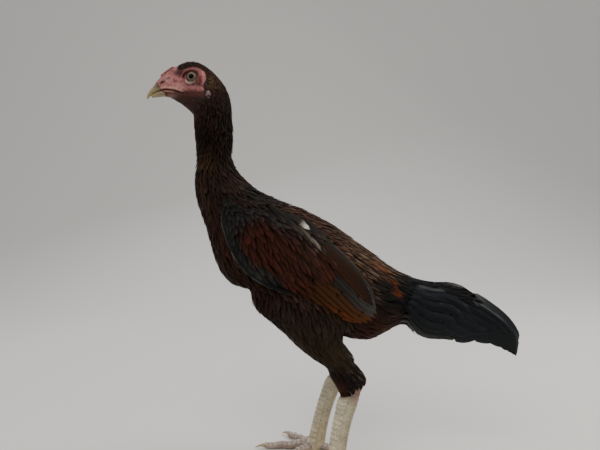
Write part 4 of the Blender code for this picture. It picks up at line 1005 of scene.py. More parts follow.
# coat: it all grows from one soft ground, in which the crease between breast and thigh is filled
bristle = [vanePattern(6, 3, 0.7, 0.06) for n in range(4)]
hackle = [vanePattern(7, 4, 0.80, 0.12) for n in range(10)]
bodyVane = [vanePattern(8, 4, 0.70, 0.16) for n in range(12)]
coatForms = {
    "head": {"reach": (2.0, 8.4), "spacing": 0.0019, "across": 0.0017, "length": 0.0062, "width": 0.0017},
    "neck": {"reach": (7.9, 14.6), "spacing": 0.0040, "across": 0.0031, "length": 0.0165, "width": 0.0042},
    "ground": {"voxel": 0.0024, "soften": 130, "crease": 0.016},
    "body": {"spacing": 0.0038, "length": 0.0260, "width": 0.0066, "depth": 0.0038},
    "leg": {"spacing": 0.0026, "length": 0.0120, "width": 0.0039, "depth": 0.0012},
}
tones = {key: rgb(value) for key, value in {
    "neck": "170d08", "neckBrown": "2e1f18", "neckRust": "41281a", "breast": "25130b", "breastRust": "452616",
    "shoulder": "1b1917", "shoulderEdge": "45413d", "back": "38251d", "backEdge": "745039", "saddle": "392a20",
    "saddleEdge": "6e4e34", "saddleHighlight": "94826e", "rootStripe": "612f13", "rump": "151210",
    "belly": "34190d", "tailBlack": "0e0f12", "thigh": "221a15", "thighEdge": "3c2e22", "thighLow": "2f2418",
    "hock": "141110", "hockFront": "45200f", "crown": "3f2b24", "crownEdge": "7a5a4e", "ear": "4a3823",
    "earTuft": "8d775a"}.items()}
rustStripe = [(0.0500, 0.2580), (0.0610, 0.2450), (0.0685, 0.2320), (0.0715, 0.2200)]


def flank(x, z, first=11.0, last=24.0):
    # half width of the trunk at a place of the side view
    def beyond(t):
        row = curve(trunkRows, t)
        return (row[..., 2] - row[..., 0]) * (z - row[..., 1]) - (row[..., 3] - row[..., 1]) * (x - row[..., 0])

    low, high = np.full(x.shape, first), np.full(x.shape, last)
    sign = beyond(low) > 0
    for _ in range(26):
        mid = (low + high) / 2
        same = (beyond(mid) > 0) == sign
        low, high = np.where(same, mid, low), np.where(same, high, mid)
    row = curve(trunkRows, low)
    dx, dz = row[..., 2] - row[..., 0], row[..., 3] - row[..., 1]
    share = ((x - row[..., 0]) * dx + (z - row[..., 1]) * dz) / (dx * dx + dz * dz)
    cosine = 1 - 2 * np.clip(share, 0.004, 0.996)
    return row[..., 4] * np.sqrt(1 - cosine ** 2) * (1 + 0.10 * cosine)


def wingPlaceOf(points):
    # the same two wing coordinates for any point of the side view
    run = unit(np.array((0.177, -0.130)))
    off = points[..., [0, 2]] - np.array((-0.1305, 0.3180))
    return off @ run, off @ np.array((-run[1], run[0]))


def underWing(points):
    # deep under the folded wing no coat shows
    along, across = wingPlaceOf(points)
    top = np.interp(along, (0.0, 0.04, 0.09, 0.15, 0.20), (0.010, 0.028, 0.034, 0.022, 0.002))
    low = np.interp(along, (0.0, 0.04, 0.09, 0.15, 0.20), (0.004, -0.016, -0.020, -0.010, -0.002))
    return (along > 0.016) & (along < 0.190) & (across > low) & (across < top) & (np.abs(points[..., 1]) > 0.022)


def zone(x, z, place, wide, tall):
    return np.exp(-((x - place[0]) / wide) ** 2 - ((z - place[1]) / tall) ** 2)


def plumage(spot, up, t, legShare):
    # base and edge colour of each feather by its place: dark neck, rust breast, saddle with painted highlight streaks
    count = len(spot)
    x, z = spot[:, 0], spot[:, 2]
    base = np.broadcast_to(tones["neck"], (count, 3)).copy()
    edge = np.broadcast_to(tones["neckRust"], (count, 3)).copy()
    onTop = smooth(-0.1, 0.55, up)
    edge = mix(edge, tones["ear"], smooth(11.5, 9.0, t) * 0.6)
    base = mix(base, tones["neckBrown"], smooth(10.5, 12.5, t) * 0.8)
    base = mix(base, tones["ear"], zone(x, z, (-0.160, 0.383), 0.016, 0.018) * 0.4)
    base = mix(base, tones["breast"], smooth(12.8, 15.5, t) * (1 - 0.5 * onTop))
    edge = mix(edge, tones["breastRust"], smooth(13.0, 15.5, t))
    dark = zone(x, z, (-0.084, 0.344), 0.030, 0.016)
    rear = smooth(-0.080, -0.050, x) * onTop
    base, edge = mix(base, tones["back"], rear), mix(edge, tones["backEdge"], rear)
    base, edge = mix(base, tones["shoulder"], dark * 0.95), mix(edge, tones["shoulderEdge"], dark)
    loin = smooth(0.000, 0.030, x) * smooth(-0.35, 0.35, up)
    base, edge = mix(base, tones["saddle"], loin), mix(edge, tones["saddleEdge"], loin)
    stripe = bump(lineDistance(spot[:, [0, 2]], rustStripe)[0], 0.0028)
    low = smooth(0.036, 0.056, x) * smooth(0.243, 0.228, z) * smooth(0.166, 0.178, z)
    base, edge = mix(base, tones["rump"], low * 0.95), mix(edge, tones["rump"] * 1.7, low)
    end = np.maximum(smooth(23.6, 24.4, t), smooth(0.070, 0.082, x) * smooth(0.245, 0.236, z))
    base, edge = mix(base, tones["tailBlack"], end * 0.9), mix(edge, tones["tailBlack"] * 1.8, end)
    base, edge = mix(base, tones["rootStripe"], stripe * 0.9), mix(edge, tones["rootStripe"] * 1.5, stripe)
    belly = smooth(-0.15, -0.75, up) * smooth(-0.045, 0.0, x) * (1 - legShare) * smooth(0.090, 0.060, x)
    base, edge = mix(base, tones["belly"], belly), mix(edge, tones["breastRust"], belly)
    down = smooth(0.205, 0.150, z)
    legBase = mix(mix(np.broadcast_to(tones["thigh"], (count, 3)), tones["thighLow"], down), tones["hock"],
                  smooth(0.148, 0.118, z))
    front = smooth(0.009, -0.004, x) * smooth(0.128, 0.108, z)
    legBase = mix(legBase, tones["hockFront"], front)
    legBase = mix(legBase, tones["breast"], zone(x, z, (-0.094, 0.215), 0.026, 0.024) * 0.8)
    base, edge = mix(base, legBase, legShare), mix(edge, tones["thighEdge"], legShare * 0.9)
    patchy = np.clip(1 + 0.20 * waves(spot, 0.030, 4) + 0.12 * waves(spot, 0.012, 7), 0.55, 1.6)[:, None]
    # the last value marks where the saddle's painted highlight streaks go
    return base * patchy, edge * patchy, loin * smooth(24.3, 23.2, t) * (1 - stripe) * (1 - low) * (1 - end)


def coatTint(spot, up, t, legShare, maps):
    count = len(spot)
    base, edge, loin = plumage(spot, up, t, legShare)
    base, edge = base * fleck(count, 0.17), edge * fleck(count, 0.17)
    pale = draw.random(count)
    # painted highlight: some saddle feathers are made paler, as if catching the light
    base = mix(base, tones["saddleHighlight"], loin * (pale > 0.86) * draw.uniform(0.2, 0.6, count))
    amount = np.where(draw.random(count) < 0.45, draw.uniform(0.15, 0.6, count), 0.06)
    made = shaded(base, maps, edge, amount[:, None], 0.75)
    # painted highlight: a pale line in the edge colour along the shaft of many saddle feathers
    shaft = bump(maps[..., 0] - 0.5, 0.10) * smooth(0.2, 0.5, maps[..., 1])
    return mix(made, np.repeat(edge[:, None], maps.shape[1], 1), shaft * (loin * (pale > 0.45))[:, None] * 0.5)


def coatUnwrap(t, angle, first, last):
    return np.stack([np.clip((t - first) / (last - first), 0, 1), (angle / (2 * math.pi)) % 1.0], -1)


def alongTrunk(name, patterns, spots, form, depth, last, span, slotName, grow, thickness, loose, tinted):
    # feathers of head and neck, laid back along the trunk's own curves
    t, angle = spots[:, 0], spots[:, 1]
    count = len(t)
    size = form["length"] * grow * draw.uniform(0.8, 1.2, count)
    reach = size / np.maximum(np.linalg.norm(alongOf(trunk, t, angle), axis=-1), 1e-4)
    side = draw.uniform(-0.10, 0.10, count) * np.minimum(size / 0.012, 1.0)

    def spot(share, rise):
        tt, aa = t + reach * share, angle + side * share
        normal = normalOf(trunk, np.minimum(tt, lastRow - 0.01), aa)
        return trunk(tt, aa) + normal * rise[:, None], normal

    high = 0.0001 + loose * draw.random(count) ** 3
    root, rootUp = spot(0.0, -depth)
    middle, _ = spot(0.5, -depth * 0.36 + 0.4 * high)
    tip, tipUp = spot(1.0, high)
    wide = form["width"] * grow ** 0.5 * draw.uniform(0.85, 1.15, count)
    points, maps = layFeathers(patterns, root, middle, tip, rootUp, tipUp, wide, 0.22, thickness,
                               draw.normal(0, 0.15, count))
    tint = tinted(root, tip, tipUp, t, maps)
    return featherPiece(name, patterns, points, maps, tint, coatUnwrap(t, angle, *span), size, contour, slotName)


def scattered(first, last, spacing, across):
    # places over the trunk, a few millimetres apart, with no rows to be seen
    t, made = first, []
    while t < last:
        ring = trunk(np.full(64, t), np.linspace(0, 2 * math.pi, 64))
        count = int(np.linalg.norm(np.diff(ring, axis=0), axis=1).sum() / across)
        pace = np.linalg.norm(alongOf(trunk, np.full(1, t), np.full(1, math.pi / 2)), axis=-1)[0]
        step = spacing / pace
        shift = draw.uniform(0, 1)
        angle = (np.arange(count) + shift + draw.uniform(-0.38, 0.38, count)) / count * 2 * math.pi
        made.append(np.stack([t + draw.uniform(-0.5, 0.5, count) * step, angle], -1))
        t += step
    return np.vstack(made)


def headTint(root, tip, up, t, maps):
    count = len(t)
    x, z = root[:, 0], root[:, 2]
    base = np.broadcast_to(tones["crown"], (count, 3)).copy()
    ear = zone(tip[:, 0], tip[:, 2], (-0.1462, 0.4870), 0.0062, 0.0085)
    base = mix(base, tones["neck"], smooth(6.0, 8.2, t) * 0.85)
    base = mix(base, tones["ear"], ear * 0.95) * fleck(count, 0.30)
    edge = mix(np.broadcast_to(tones["crownEdge"], base.shape), tones["earTuft"], np.clip(ear * 1.4, 0, 1))
    light = (draw.random(count) < 0.35 + 0.35 * ear) * (0.35 + 0.5 * ear)
    return shaded(base, maps, edge, light[:, None], 0.8)


def neckTint(root, tip, up, t, maps):
    return coatTint(tip, up[:, 2], t, np.zeros(len(t)), maps)


def makeNeckCoat():
    form = coatForms["head"]
    spots = scattered(*form["reach"], form["spacing"], form["across"])
    flat = trunk(spots[:, 0], spots[:, 1])
    comb = lineDistance(flat[:, [0, 2]], [headForms["combStart"], headForms["combEnd"]])[0]
    lobe = np.hypot((flat[:, 0] + 0.1535) / 0.0060, (flat[:, 2] - 0.4770) / 0.0068)
    spots = spots[(draw.random(len(spots)) < feathered(flat, -0.0042, 0.0034) ** 1.4) & (comb > 0.0036) & (lobe > 1)]
    grow = 0.62 + 0.85 * smooth(3.5, 8.0, spots[:, 0])
    alongTrunk("feathers_head", bristle, spots, form, 0.0006 + 0.0012 * smooth(6.0, 8.0, spots[:, 0]), 9.0,
               (2.0, 8.6), "bare_skin", grow, 0.0003, 0.0010, headTint)
    form = coatForms["neck"]
    spots = scattered(*form["reach"], form["spacing"], form["across"])
    spots = spots[draw.random(len(spots)) < feathered(trunk(spots[:, 0], spots[:, 1]))]
    grow = 0.8 + 0.55 * smooth(11.0, 14.0, spots[:, 0])
    alongTrunk("feathers_neck", hackle, spots, form, 0.0022 + 0.001 * smooth(12.0, 14.0, spots[:, 0]), 15.5,
               (7.5, 15.0), "brown_feathers", grow, 0.0003, 0.0016, neckTint)


makeNeckCoat()
print("head and neck feathers made")


def treeOf(points):
    made = KDTree(len(points))
    for n, point in enumerate(points):
        made.insert(point, n)
    made.balance()
    return made


def grownGrid(surface, first, last, rows, columns):
    t, angle = np.meshgrid(np.linspace(first, last, rows), np.arange(columns) / columns * 2 * math.pi, indexing="ij")
    return t, angle, surface(t, angle), unit(alongOf(surface, np.clip(t, first + 0.02, last - 0.02), angle))


bodyGrids = {"trunk": grownGrid(trunk, 11.5, 27.6, 220, 128)}
for sideName, sideSign in sides:
    bodyGrids[sideName] = grownGrid(thigh(sideName, sideSign), 0.0, 9.0, 64, 48)
bodyTrees = {key: treeOf(grid[2].reshape(-1, 3)) for key, grid in bodyGrids.items()}


def bodyPlaces(points):
    # station and angle on the trunk, the way the coat lies, and how much a place belongs to a thigh
    near = np.array([(lambda hit: (hit[1], hit[2]))(bodyTrees["trunk"].find(p)) for p in points])
    which = np.where(points[:, 1] < 0, "left", "right")
    legNear = np.array([(lambda hit: (hit[1], hit[2]))(bodyTrees[w].find(p)) for w, p in zip(which, points)])
    index, legIndex = near[:, 0].astype(int), legNear[:, 0].astype(int)
    t, angle, _, way = bodyGrids["trunk"]
    legWay = np.where((which == "left")[:, None], bodyGrids["left"][3].reshape(-1, 3)[legIndex],
                      bodyGrids["right"][3].reshape(-1, 3)[legIndex])
    share = smooth(-0.007, 0.007, near[:, 1] - legNear[:, 1])
    share = np.where((near[:, 1] < 0.0006) & (legNear[:, 1] > 0.0006), np.minimum(share, 0.45), share)
    ahead = unit(mix(way.reshape(-1, 3)[index], legWay, share))
    return t.ravel()[index], angle.ravel()[index], ahead, share, near[:, 1] + legNear[:, 1]


def makeGround():
    made = closedTube("coatGround", bodyGrids["trunk"][2], np.zeros(bodyGrids["trunk"][2].shape), skinFinish)
    legs = []
    for name, side in sides:
        legs.append(closedTube("thighGround", bodyGrids[name][2], np.zeros(bodyGrids[name][2].shape), skinFinish))
    joinInto(made, legs)
    bpy.context.view_layer.objects.active = made
    even = made.modifiers.new("even", "REMESH")
    even.mode = "VOXEL"
    even.voxel_size = coatForms["ground"]["voxel"]
    bpy.ops.object.modifier_apply(modifier=even.name)
    points = places(made)
    crease = np.exp(-(bodyPlaces(points)[4] / coatForms["ground"]["crease"]) ** 2)
    group = made.vertex_groups.new(name="crease")
    for level in range(1, 11):
        chosen = np.nonzero((crease * 10).round().astype(int) == level)[0]
        group.add([int(n) for n in chosen], level / 10, "REPLACE")
    soften = made.modifiers.new("soften", "SMOOTH")
    soften.vertex_group = group.name
    soften.factor = 0.5
    soften.iterations = coatForms["ground"]["soften"]
    bpy.ops.object.modifier_apply(modifier=soften.name)
    made.data.vertices.foreach_set("co", eased(places(made)).ravel())
    made.data.update()
    return made


def makeBodyCoat():
    ground = makeGround()
    points = places(ground)
    ups = np.empty(len(points) * 3)
    ground.data.vertices.foreach_get("normal", ups)
    ups = ups.reshape(-1, 3)
    polygons = [tuple(p.vertices) for p in ground.data.polygons]
    skinTree = BVHTree.FromPolygons([tuple(p) for p in points], polygons)

    def settleOn(wanted):
        spots, normals = np.empty((len(wanted), 3)), np.empty((len(wanted), 3))
        for n, point in enumerate(wanted):
            hit = skinTree.find_nearest(point)
            spots[n] = hit[0]
            normals[n] = ups[list(polygons[hit[2]])].mean(0)
        return spots, unit(normals)

    t, angle, ahead, legShare, _ = bodyPlaces(points)
    low = smooth(0.215, 0.135, points[:, 2]) * legShare
    body, leg = coatForms["body"], coatForms["leg"]
    spacing = body["spacing"] + (leg["spacing"] - body["spacing"]) * low
    spacing = spacing * (1 - 0.12 * smooth(16.0, 13.5, t) * (1 - legShare))
    usable = (t > 13.9) & (t < 26.4) & ~underWing(points) | (legShare > 0.5)
    usable &= ~underWing(points) & (points[:, 2] > np.interp(points[:, 0], (-0.002, 0.010, 0.026), (0.0985, 0.1080, 0.1185)))
    tree = treeOf(points)
    free = usable.copy()
    kept = []
    for n in draw.permutation(len(points)):
        if free[n]:
            kept.append(n)
            for hit in tree.find_range(points[n], spacing[n]):
                free[hit[1]] = False
    kept = np.array(kept)
    t, angle, ahead, legShare, low = t[kept], angle[kept], ahead[kept], legShare[kept], low[kept]
    roots, up = points[kept] + draw.normal(0, 0.0004, (len(kept), 3)), ups[kept]
    ahead = unit(ahead - up * np.sum(ahead * up, 1)[:, None] + draw.normal(0, 0.07, ahead.shape))
    size = (body["length"] + (leg["length"] - body["length"]) * low) * draw.uniform(0.85, 1.15, len(kept))
    size = size * (0.80 + 0.20 * smooth(13.5, 17.0, t) + 0.25 * smooth(20.0, 23.0, t) * (1 - legShare))
    size = size * (1 - 0.40 * smooth(0.125, 0.108, roots[:, 2]) * legShare * smooth(0.0, 0.012, roots[:, 0]))
    loin = smooth(0.000, 0.030, roots[:, 0]) * smooth(-0.2, 0.4, up[:, 2]) * (1 - legShare)
    size = size * (1 + 0.30 * loin)
    depth = body["depth"] + (leg["depth"] - body["depth"]) * low
    wide = (body["width"] + (leg["width"] - body["width"]) * low) * draw.uniform(0.85, 1.15, len(kept))
    wide = wide * (1 - 0.22 * loin) * (1 - 0.3 * bump(lineDistance(roots[:, [0, 2]], rustStripe)[0], 0.012))
    high = 0.0001 + 0.0011 * draw.random(len(kept)) ** 4 * (1 - 0.6 * low) + 0.0030 * smooth(23.4, 25.5, t) * (1 - legShare)
    half, halfUp = settleOn(roots + ahead * size[:, None] * 0.5)
    turned = unit(ahead - halfUp * np.sum(ahead * halfUp, 1)[:, None])
    tips, tipUp = settleOn(half + turned * size[:, None] * 0.5)
    root = roots - up * depth[:, None]
    middle = half + halfUp * (0.4 * high - 0.36 * depth)[:, None]
    tip = tips + tipUp * high[:, None]
    points, maps = layFeathers(bodyVane, root, middle, tip, up, tipUp, wide, 0.12, 0.00026,
                               draw.normal(0, 0.12, len(kept)))
    spot = roots * 0.3 + tips * 0.7
    tint = coatTint(spot, tipUp[:, 2], t, legShare, maps)
    onLeg = legShare > 0.5
    upper = (1 - np.cos(angle)) / 2 < 0.45
    for name, here in (("back", ~onLeg & upper), ("breast", ~onLeg & ~upper), ("thigh_left", onLeg & (roots[:, 1] < 0)),
                       ("thigh_right", onLeg & (roots[:, 1] >= 0))):
        unwrap = np.stack([np.clip((roots[here, 0] + 0.18) / 0.36, 0, 1), (angle[here] / (2 * math.pi)) % 1.0], -1)
        if "thigh" in name:
            unwrap = np.stack([np.clip((roots[here, 0] + 0.12) / 0.16, 0, 1), np.clip((roots[here, 2] - 0.09) / 0.18, 0, 1)], -1)
            unwrap[:, 0] = unwrap[:, 0] * 0.48 + 0.52 * (np.abs(roots[here, 1]) > 0.036)
        featherPiece("feathers_" + name, bodyVane, points[here], maps[here], tint[here], unwrap, size[here], contour,
                     "brown_feathers")
        print("feathers_" + name, int(here.sum()))
    old = ground.data
    bpy.data.objects.remove(ground)
    bpy.data.meshes.remove(old)


def markSkin():
    # under its coat the skin carries the same markings, a little duller
    points = places(skin)
    here = np.nonzero((points[:, 2] < 0.44) & ((points[:, 2] > 0.120) | (points[:, 0] < 0.004)))[0]
    t, angle, ahead, legShare, _ = bodyPlaces(points[here])
    t = np.where(points[here, 2] > 0.365, 10.0, t)
    up = -np.cos(angle) * -1.0
    tint = np.empty(len(points) * 4)
    layer = skin.data.attributes["tint"]
    layer.data.foreach_get("color", tint)
    tint = tint.reshape(-1, 4)
    tint[here, :3] = plumage(points[here], up, t, legShare)[0] * 0.8
    layer.data.foreach_set("color", tint.ravel())


makeBodyCoat()
markSkin()
print("body and thigh feathers made")


# wing: a place is a length along the line from shoulder to tip and a height across it
wingForms = {
    "shoulder": (-0.1305, 0.3180), "tip": (0.0465, 0.1880), "crown": (0.100, 0.008, 0.0524),
    "bend": (1.4, 0.9, 6.2, 8.8),
    "thickness": ((-0.014, 0.0026), (-0.006, 0.0044), (0.010, 0.0070), (0.030, 0.0094), (0.055, 0.0100), (0.080, 0.0094),
                  (0.105, 0.0082), (0.130, 0.0068), (0.155, 0.0056), (0.185, 0.0046), (0.220, 0.0040)),
    "arm": ((0.004, 0.006, 0.014), (0.014, -0.004, 0.022), (0.026, -0.012, 0.028), (0.045, -0.020, 0.030),
            (0.068, -0.021, 0.030), (0.085, -0.014, 0.026), (0.098, -0.002, 0.020)),
}
flightTips = [(0.148, -0.0255), (0.158, -0.0228), (0.169, -0.0218), (0.180, -0.0202), (0.190, -0.0188),
              (0.199, -0.0160), (0.206, -0.0128), (0.211, -0.0085), (0.214, -0.0035), (0.214, 0.0018),
              (0.213, 0.0070), (0.209, 0.0115), (0.204, 0.0155)]
# tiers of coverts from the greater ones to the shoulder: number, lower tip, upper tip, slants of the
# lowest, middle and highest one, length, width
covertTiers = [
    (12, (0.134, -0.0225), (0.156, 0.0290), (-0.08, -0.34, -0.25), 0.062, 0.0100),
    (13, (0.122, -0.0258), (0.142, 0.0340), (-0.10, -0.36, -0.22), 0.054, 0.0094),
    (14, (0.110, -0.0288), (0.131, 0.0370), (-0.13, -0.38, -0.18), 0.049, 0.0090),
    (15, (0.099, -0.0315), (0.119, 0.0385), (-0.18, -0.40, -0.12), 0.045, 0.0086),
    (16, (0.088, -0.0345), (0.107, 0.0392), (-0.24, -0.42, -0.06), 0.042, 0.0084),
    (16, (0.077, -0.0365), (0.096, 0.0388), (-0.32, -0.44, 0.00), 0.039, 0.0082),
    (16, (0.066, -0.0365), (0.085, 0.0380), (-0.42, -0.45, 0.08), 0.036, 0.0080),
    (16, (0.056, -0.0345), (0.074, 0.0370), (-0.54, -0.45, 0.15), 0.033, 0.0078),
    (15, (0.046, -0.0315), (0.063, 0.0355), (-0.64, -0.45, 0.22), 0.030, 0.0076),
    (14, (0.037, -0.0270), (0.053, 0.0335), (-0.72, -0.45, 0.30), 0.027, 0.0074),
    (13, (0.029, -0.0215), (0.043, 0.0310), (-0.78, -0.45, 0.38), 0.024, 0.0072),
    (12, (0.022, -0.0160), (0.034, 0.0285), (-0.84, -0.45, 0.46), 0.021, 0.0070),
    (11, (0.015, -0.0105), (0.025, 0.0260), (-0.88, -0.45, 0.54), 0.018, 0.0068),
    (10, (0.009, -0.0055), (0.017, 0.0235), (-0.92, -0.45, 0.62), 0.016, 0.0066),
    (8, (0.003, -0.0010), (0.009, 0.0210), (-0.94, -0.45, 0.66), 0.014, 0.0064),
    (7, (-0.003, 0.0030), (0.002, 0.0190), (-0.94, -0.45, 0.66), 0.012, 0.0062),
    (5, (-0.008, 0.0065), (-0.005, 0.0165), (-0.94, -0.45, 0.66), 0.011, 0.0060),
]
scapulars = [
    (11, (0.060, 0.0410), (0.172, 0.0250), (-0.04, -0.14, -0.24), 0.050, 0.0100),
    (11, (0.048, 0.0460), (0.156, 0.0350), (0.00, -0.12, -0.22), 0.046, 0.0096),
    (10, (0.034, 0.0430), (0.126, 0.0450), (0.10, -0.06, -0.18), 0.040, 0.0092),
]
# long upper quills that lie over the rear of the wing: root, tip
tertials = [((0.100, 0.0330), (0.203, 0.0125)), ((0.094, 0.0370), (0.197, 0.0185)), ((0.088, 0.0405), (0.188, 0.0245)),
            ((0.082, 0.0435), (0.176, 0.0305))]
# narrow quills round the front and lower edge: root, tip, bend
leadingEdge = [((-0.012, 0.0140), (0.018, -0.0190), -0.10), ((-0.006, 0.0100), (0.034, -0.0300), -0.10),
               ((0.000, 0.0060), (0.050, -0.0380), -0.09), ((0.010, -0.0060), (0.068, -0.0410), -0.10),
               ((0.022, -0.0180), (0.088, -0.0382), -0.12), ((0.036, -0.0260), (0.106, -0.0320), -0.14),
               ((0.052, -0.0300), (0.124, -0.0250), -0.12), ((0.014, -0.0020), (0.070, -0.0330), -0.12),
               ((0.028, -0.0140), (0.090, -0.0320), -0.13)]
wingTones = {key: rgb(value) for key, value in {
    "bow": "331710", "bowEdge": "5c2c1a", "middle": "30211a", "shoulder": "191817", "shoulderEdge": "484643",
    "scapular": "1f1916", "scapularEdge": "5a4d43", "quill": "201f20", "quillEdge": "747472", "tertial": "1f1611",
    "tertialEdge": "51443a", "bay": "38220f",
    "bayEdge": "643416", "rear": "2a2726", "rearEdge": "615c58", "inner": "15100e"}.items()}


def onWing(side, along, across, lift):
    crownAlong, crownAcross, widest = wingForms["crown"]
    front, rear, below, above = wingForms["bend"]
    run = unit(np.array(wingForms["tip"]) - np.array(wingForms["shoulder"]))
    x = wingForms["shoulder"][0] + run[0] * along - run[1] * across
    z = wingForms["shoulder"][1] + run[1] * along + run[0] * across
    y = widest - np.where(along < crownAlong, front, rear) * (along - crownAlong) ** 2
    y = y - np.where(across < crownAcross, below, above) * (across - crownAcross) ** 2
    # on the shoulder and along the back the feathers lie close to the body
    body = flank(x, z) + 0.0003
    close = 0.0030 + 0.03 * smooth(0.000, 0.045, along) * smooth(0.048, 0.030, across)
    y = body + np.clip(y - body, 0, close)
    return np.stack([x, side * (y + lift), z], -1)


def wingThickness(along):
    table = np.array(wingForms["thickness"])
    return np.interp(along, table[:, 0], table[:, 1])


def wingVanes(side, patterns, roots, tips, bends, widths, startLifts, endLifts, roll, camber=0.10):
    # feathers laid in wing coordinates, each rolled so that one edge lies over its neighbour
    roots, tips = np.asarray(roots), np.asarray(tips)
    count = len(roots)
    chosen = draw.integers(0, len(patterns), count)
    points = np.zeros((count, len(patterns[0]["points"]), 3))
    maps = np.zeros(points.shape[:2] + (2,))
    run = tips - roots
    length = np.linalg.norm(run, axis=1)
    across = unit(np.stack([-run[:, 1], run[:, 0]], -1))
    for n in range(count):
        a, c, h = patterns[chosen[n]]["points"].T
        half = widths[n] / 2
        place = roots[n] + run[n] * a[:, None] + across[n] * (bends[n] * length[n] * 4 * a * (1 - a) + c * half)[:, None]
        lift = startLifts[n] + (endLifts[n] - startLifts[n]) * a - roll * c * half
        lift = lift - camber * half * c ** 2 + 0.0004 * h
        points[n] = onWing(side, place[:, 0], place[:, 1], lift)
        maps[n] = np.stack([c * 0.5 + 0.5, a], -1)
    return points, maps, length


longVane = [vanePattern(26, 7, 0.16, 0.035) for n in range(5)]
covertVane = [vanePattern(9, 4, 0.60, 0.14) for n in range(12)]


def wingUnwrap(roots):
    roots = np.asarray(roots)
    return np.stack([np.clip((roots[:, 0] + 0.04) / 0.26, 0, 1), np.clip((roots[:, 1] + 0.06) / 0.14, 0, 1)], -1)


def covertTint(tips, maps):
    # black-grey shoulder, mahogany bow with lengthwise streaks, browner towards the middle of the wing
    tips = np.asarray(tips)
    count = len(tips)
    u, v = tips[:, 0], tips[:, 1]
    base = np.broadcast_to(wingTones["bow"], (count, 3)).copy()
    edge = np.broadcast_to(wingTones["bowEdge"], (count, 3)).copy()
    base = mix(base, wingTones["middle"], zone(u, v, (0.118, 0.012), 0.030, 0.020) * 0.8)
    black = np.maximum(smooth(0.050, 0.022, u + 0.35 * (0.01 - v)), smooth(0.012, 0.032, v) * smooth(0.110, 0.062, u))
    front = lineDistance(tips, [(-0.011, 0.009), (0.004, -0.005), (0.025, -0.023), (0.057, -0.040), (0.100, -0.034)])[0]
    black = np.maximum(black, smooth(0.0135, 0.0060, front))
    base, edge = mix(base, wingTones["shoulder"], black), mix(edge, wingTones["shoulderEdge"], black)
    top = smooth(0.020, 0.034, v) * smooth(0.060, 0.090, u)
    base, edge = mix(base, wingTones["scapular"], top), mix(edge, wingTones["scapularEdge"], top)
    patchy = np.clip(1 + 0.20 * waves(np.stack([u, v, 0 * u], -1), 0.026, 5), 0.6, 1.5)[:, None]
    made = shaded(base * patchy * fleck(count, 0.13), maps, edge * fleck(count, 0.13), draw.uniform(0.05, 0.5, count)[:, None], 0.8)
    pale = (top * (draw.random(count) < 0.22))[:, None] * bump(maps[..., 0] - 0.62, 0.13) * smooth(0.3, 0.6, maps[..., 1])
    made = mix(made, rgb("857a70"), pale * 0.65)
    streak = 0.86 + 0.26 * np.sin(maps[..., 0] * 19 + draw.uniform(0, 6, count)[:, None])
    return made * streak[..., None]


def makeArm(name, side):
    # flesh of the folded wing, which fills the space below its feathers
    t = np.linspace(0, len(wingForms["arm"]) - 1.0, 40)
    rows = curve(wingForms["arm"], t)
    share = np.linspace(0, 1, 24)
    top = np.maximum(wingThickness(rows[:, 0]) - 0.0052, 0.0004)
    top = top * (1 - 0.75 * np.maximum((rows[:, 0] - 0.060) / 0.043, 0.0) ** 1.5)
    along = np.repeat(rows[:, 0:1], 24, 1)
    across = rows[:, 1:2] + (rows[:, 2:3] - rows[:, 1:2]) * share
    outer = onWing(side, along, across, np.maximum(top[:, None] * np.sin(math.pi * share) ** 0.6, 0.0))
    inner = onWing(side, along, across, -0.006 + 0 * across)
    ring = np.concatenate([outer, inner[:, ::-1]], 1)
    made = outwards(closedTube("wing_flesh_" + name, ring, np.broadcast_to(rgb("1a110d"), ring.shape), skinFinish))
    settle(made, "wing_feathers", "wing_" + name)


def makeFlights(name, side):
    last = len(flightTips) - 1
    share = np.arange(last + 1) / last
    roots = np.stack([0.034 + 0.058 * share, -0.016 + 0.052 * share], -1)
    points, maps, length = wingVanes(side, longVane, roots, flightTips, -0.050 + 0.095 * share,
                                     np.full(last + 1, 0.0190), np.full(last + 1, 0.0030), 0.0020 + 0.0024 * share, 0.16)
    base = np.broadcast_to(wingTones["quill"], (last + 1, 3)).copy()
    edge = np.broadcast_to(wingTones["quillEdge"], (last + 1, 3)).copy()
    bay = smooth(0.10, 0.26, share) * smooth(0.84, 0.66, share)
    base, edge = mix(base, wingTones["bay"], bay), mix(edge, wingTones["bayEdge"], bay)
    rear = smooth(0.66, 0.84, share)
    base, edge = mix(base, wingTones["rear"], rear), mix(edge, wingTones["rearEdge"], rear)
    tint = shaded(base * fleck(last + 1, 0.12), maps, edge, np.full((last + 1, 1), 0.25), 0.8)
    # outer webs carry the colour, inner webs and tips are darker, and the lower rear is rust
    tint = mix(tint, wingTones["inner"], smooth(0.50, 0.80, maps[..., 0]) * 0.55)
    rusty = smooth(0.62, 0.92, maps[..., 1]) * (smooth(0.08, 0.2, share) * smooth(0.62, 0.40, share))[:, None]
    tint = mix(tint, wingTones["bayEdge"], rusty * smooth(0.75, 0.25, maps[..., 0]) * 0.75)
    featherPiece("feathers_flight_" + name, longVane, points, maps, tint, wingUnwrap(roots), length, contour,
                 "wing_feathers", flipped=side > 0, nodes=("wing_" + name,))


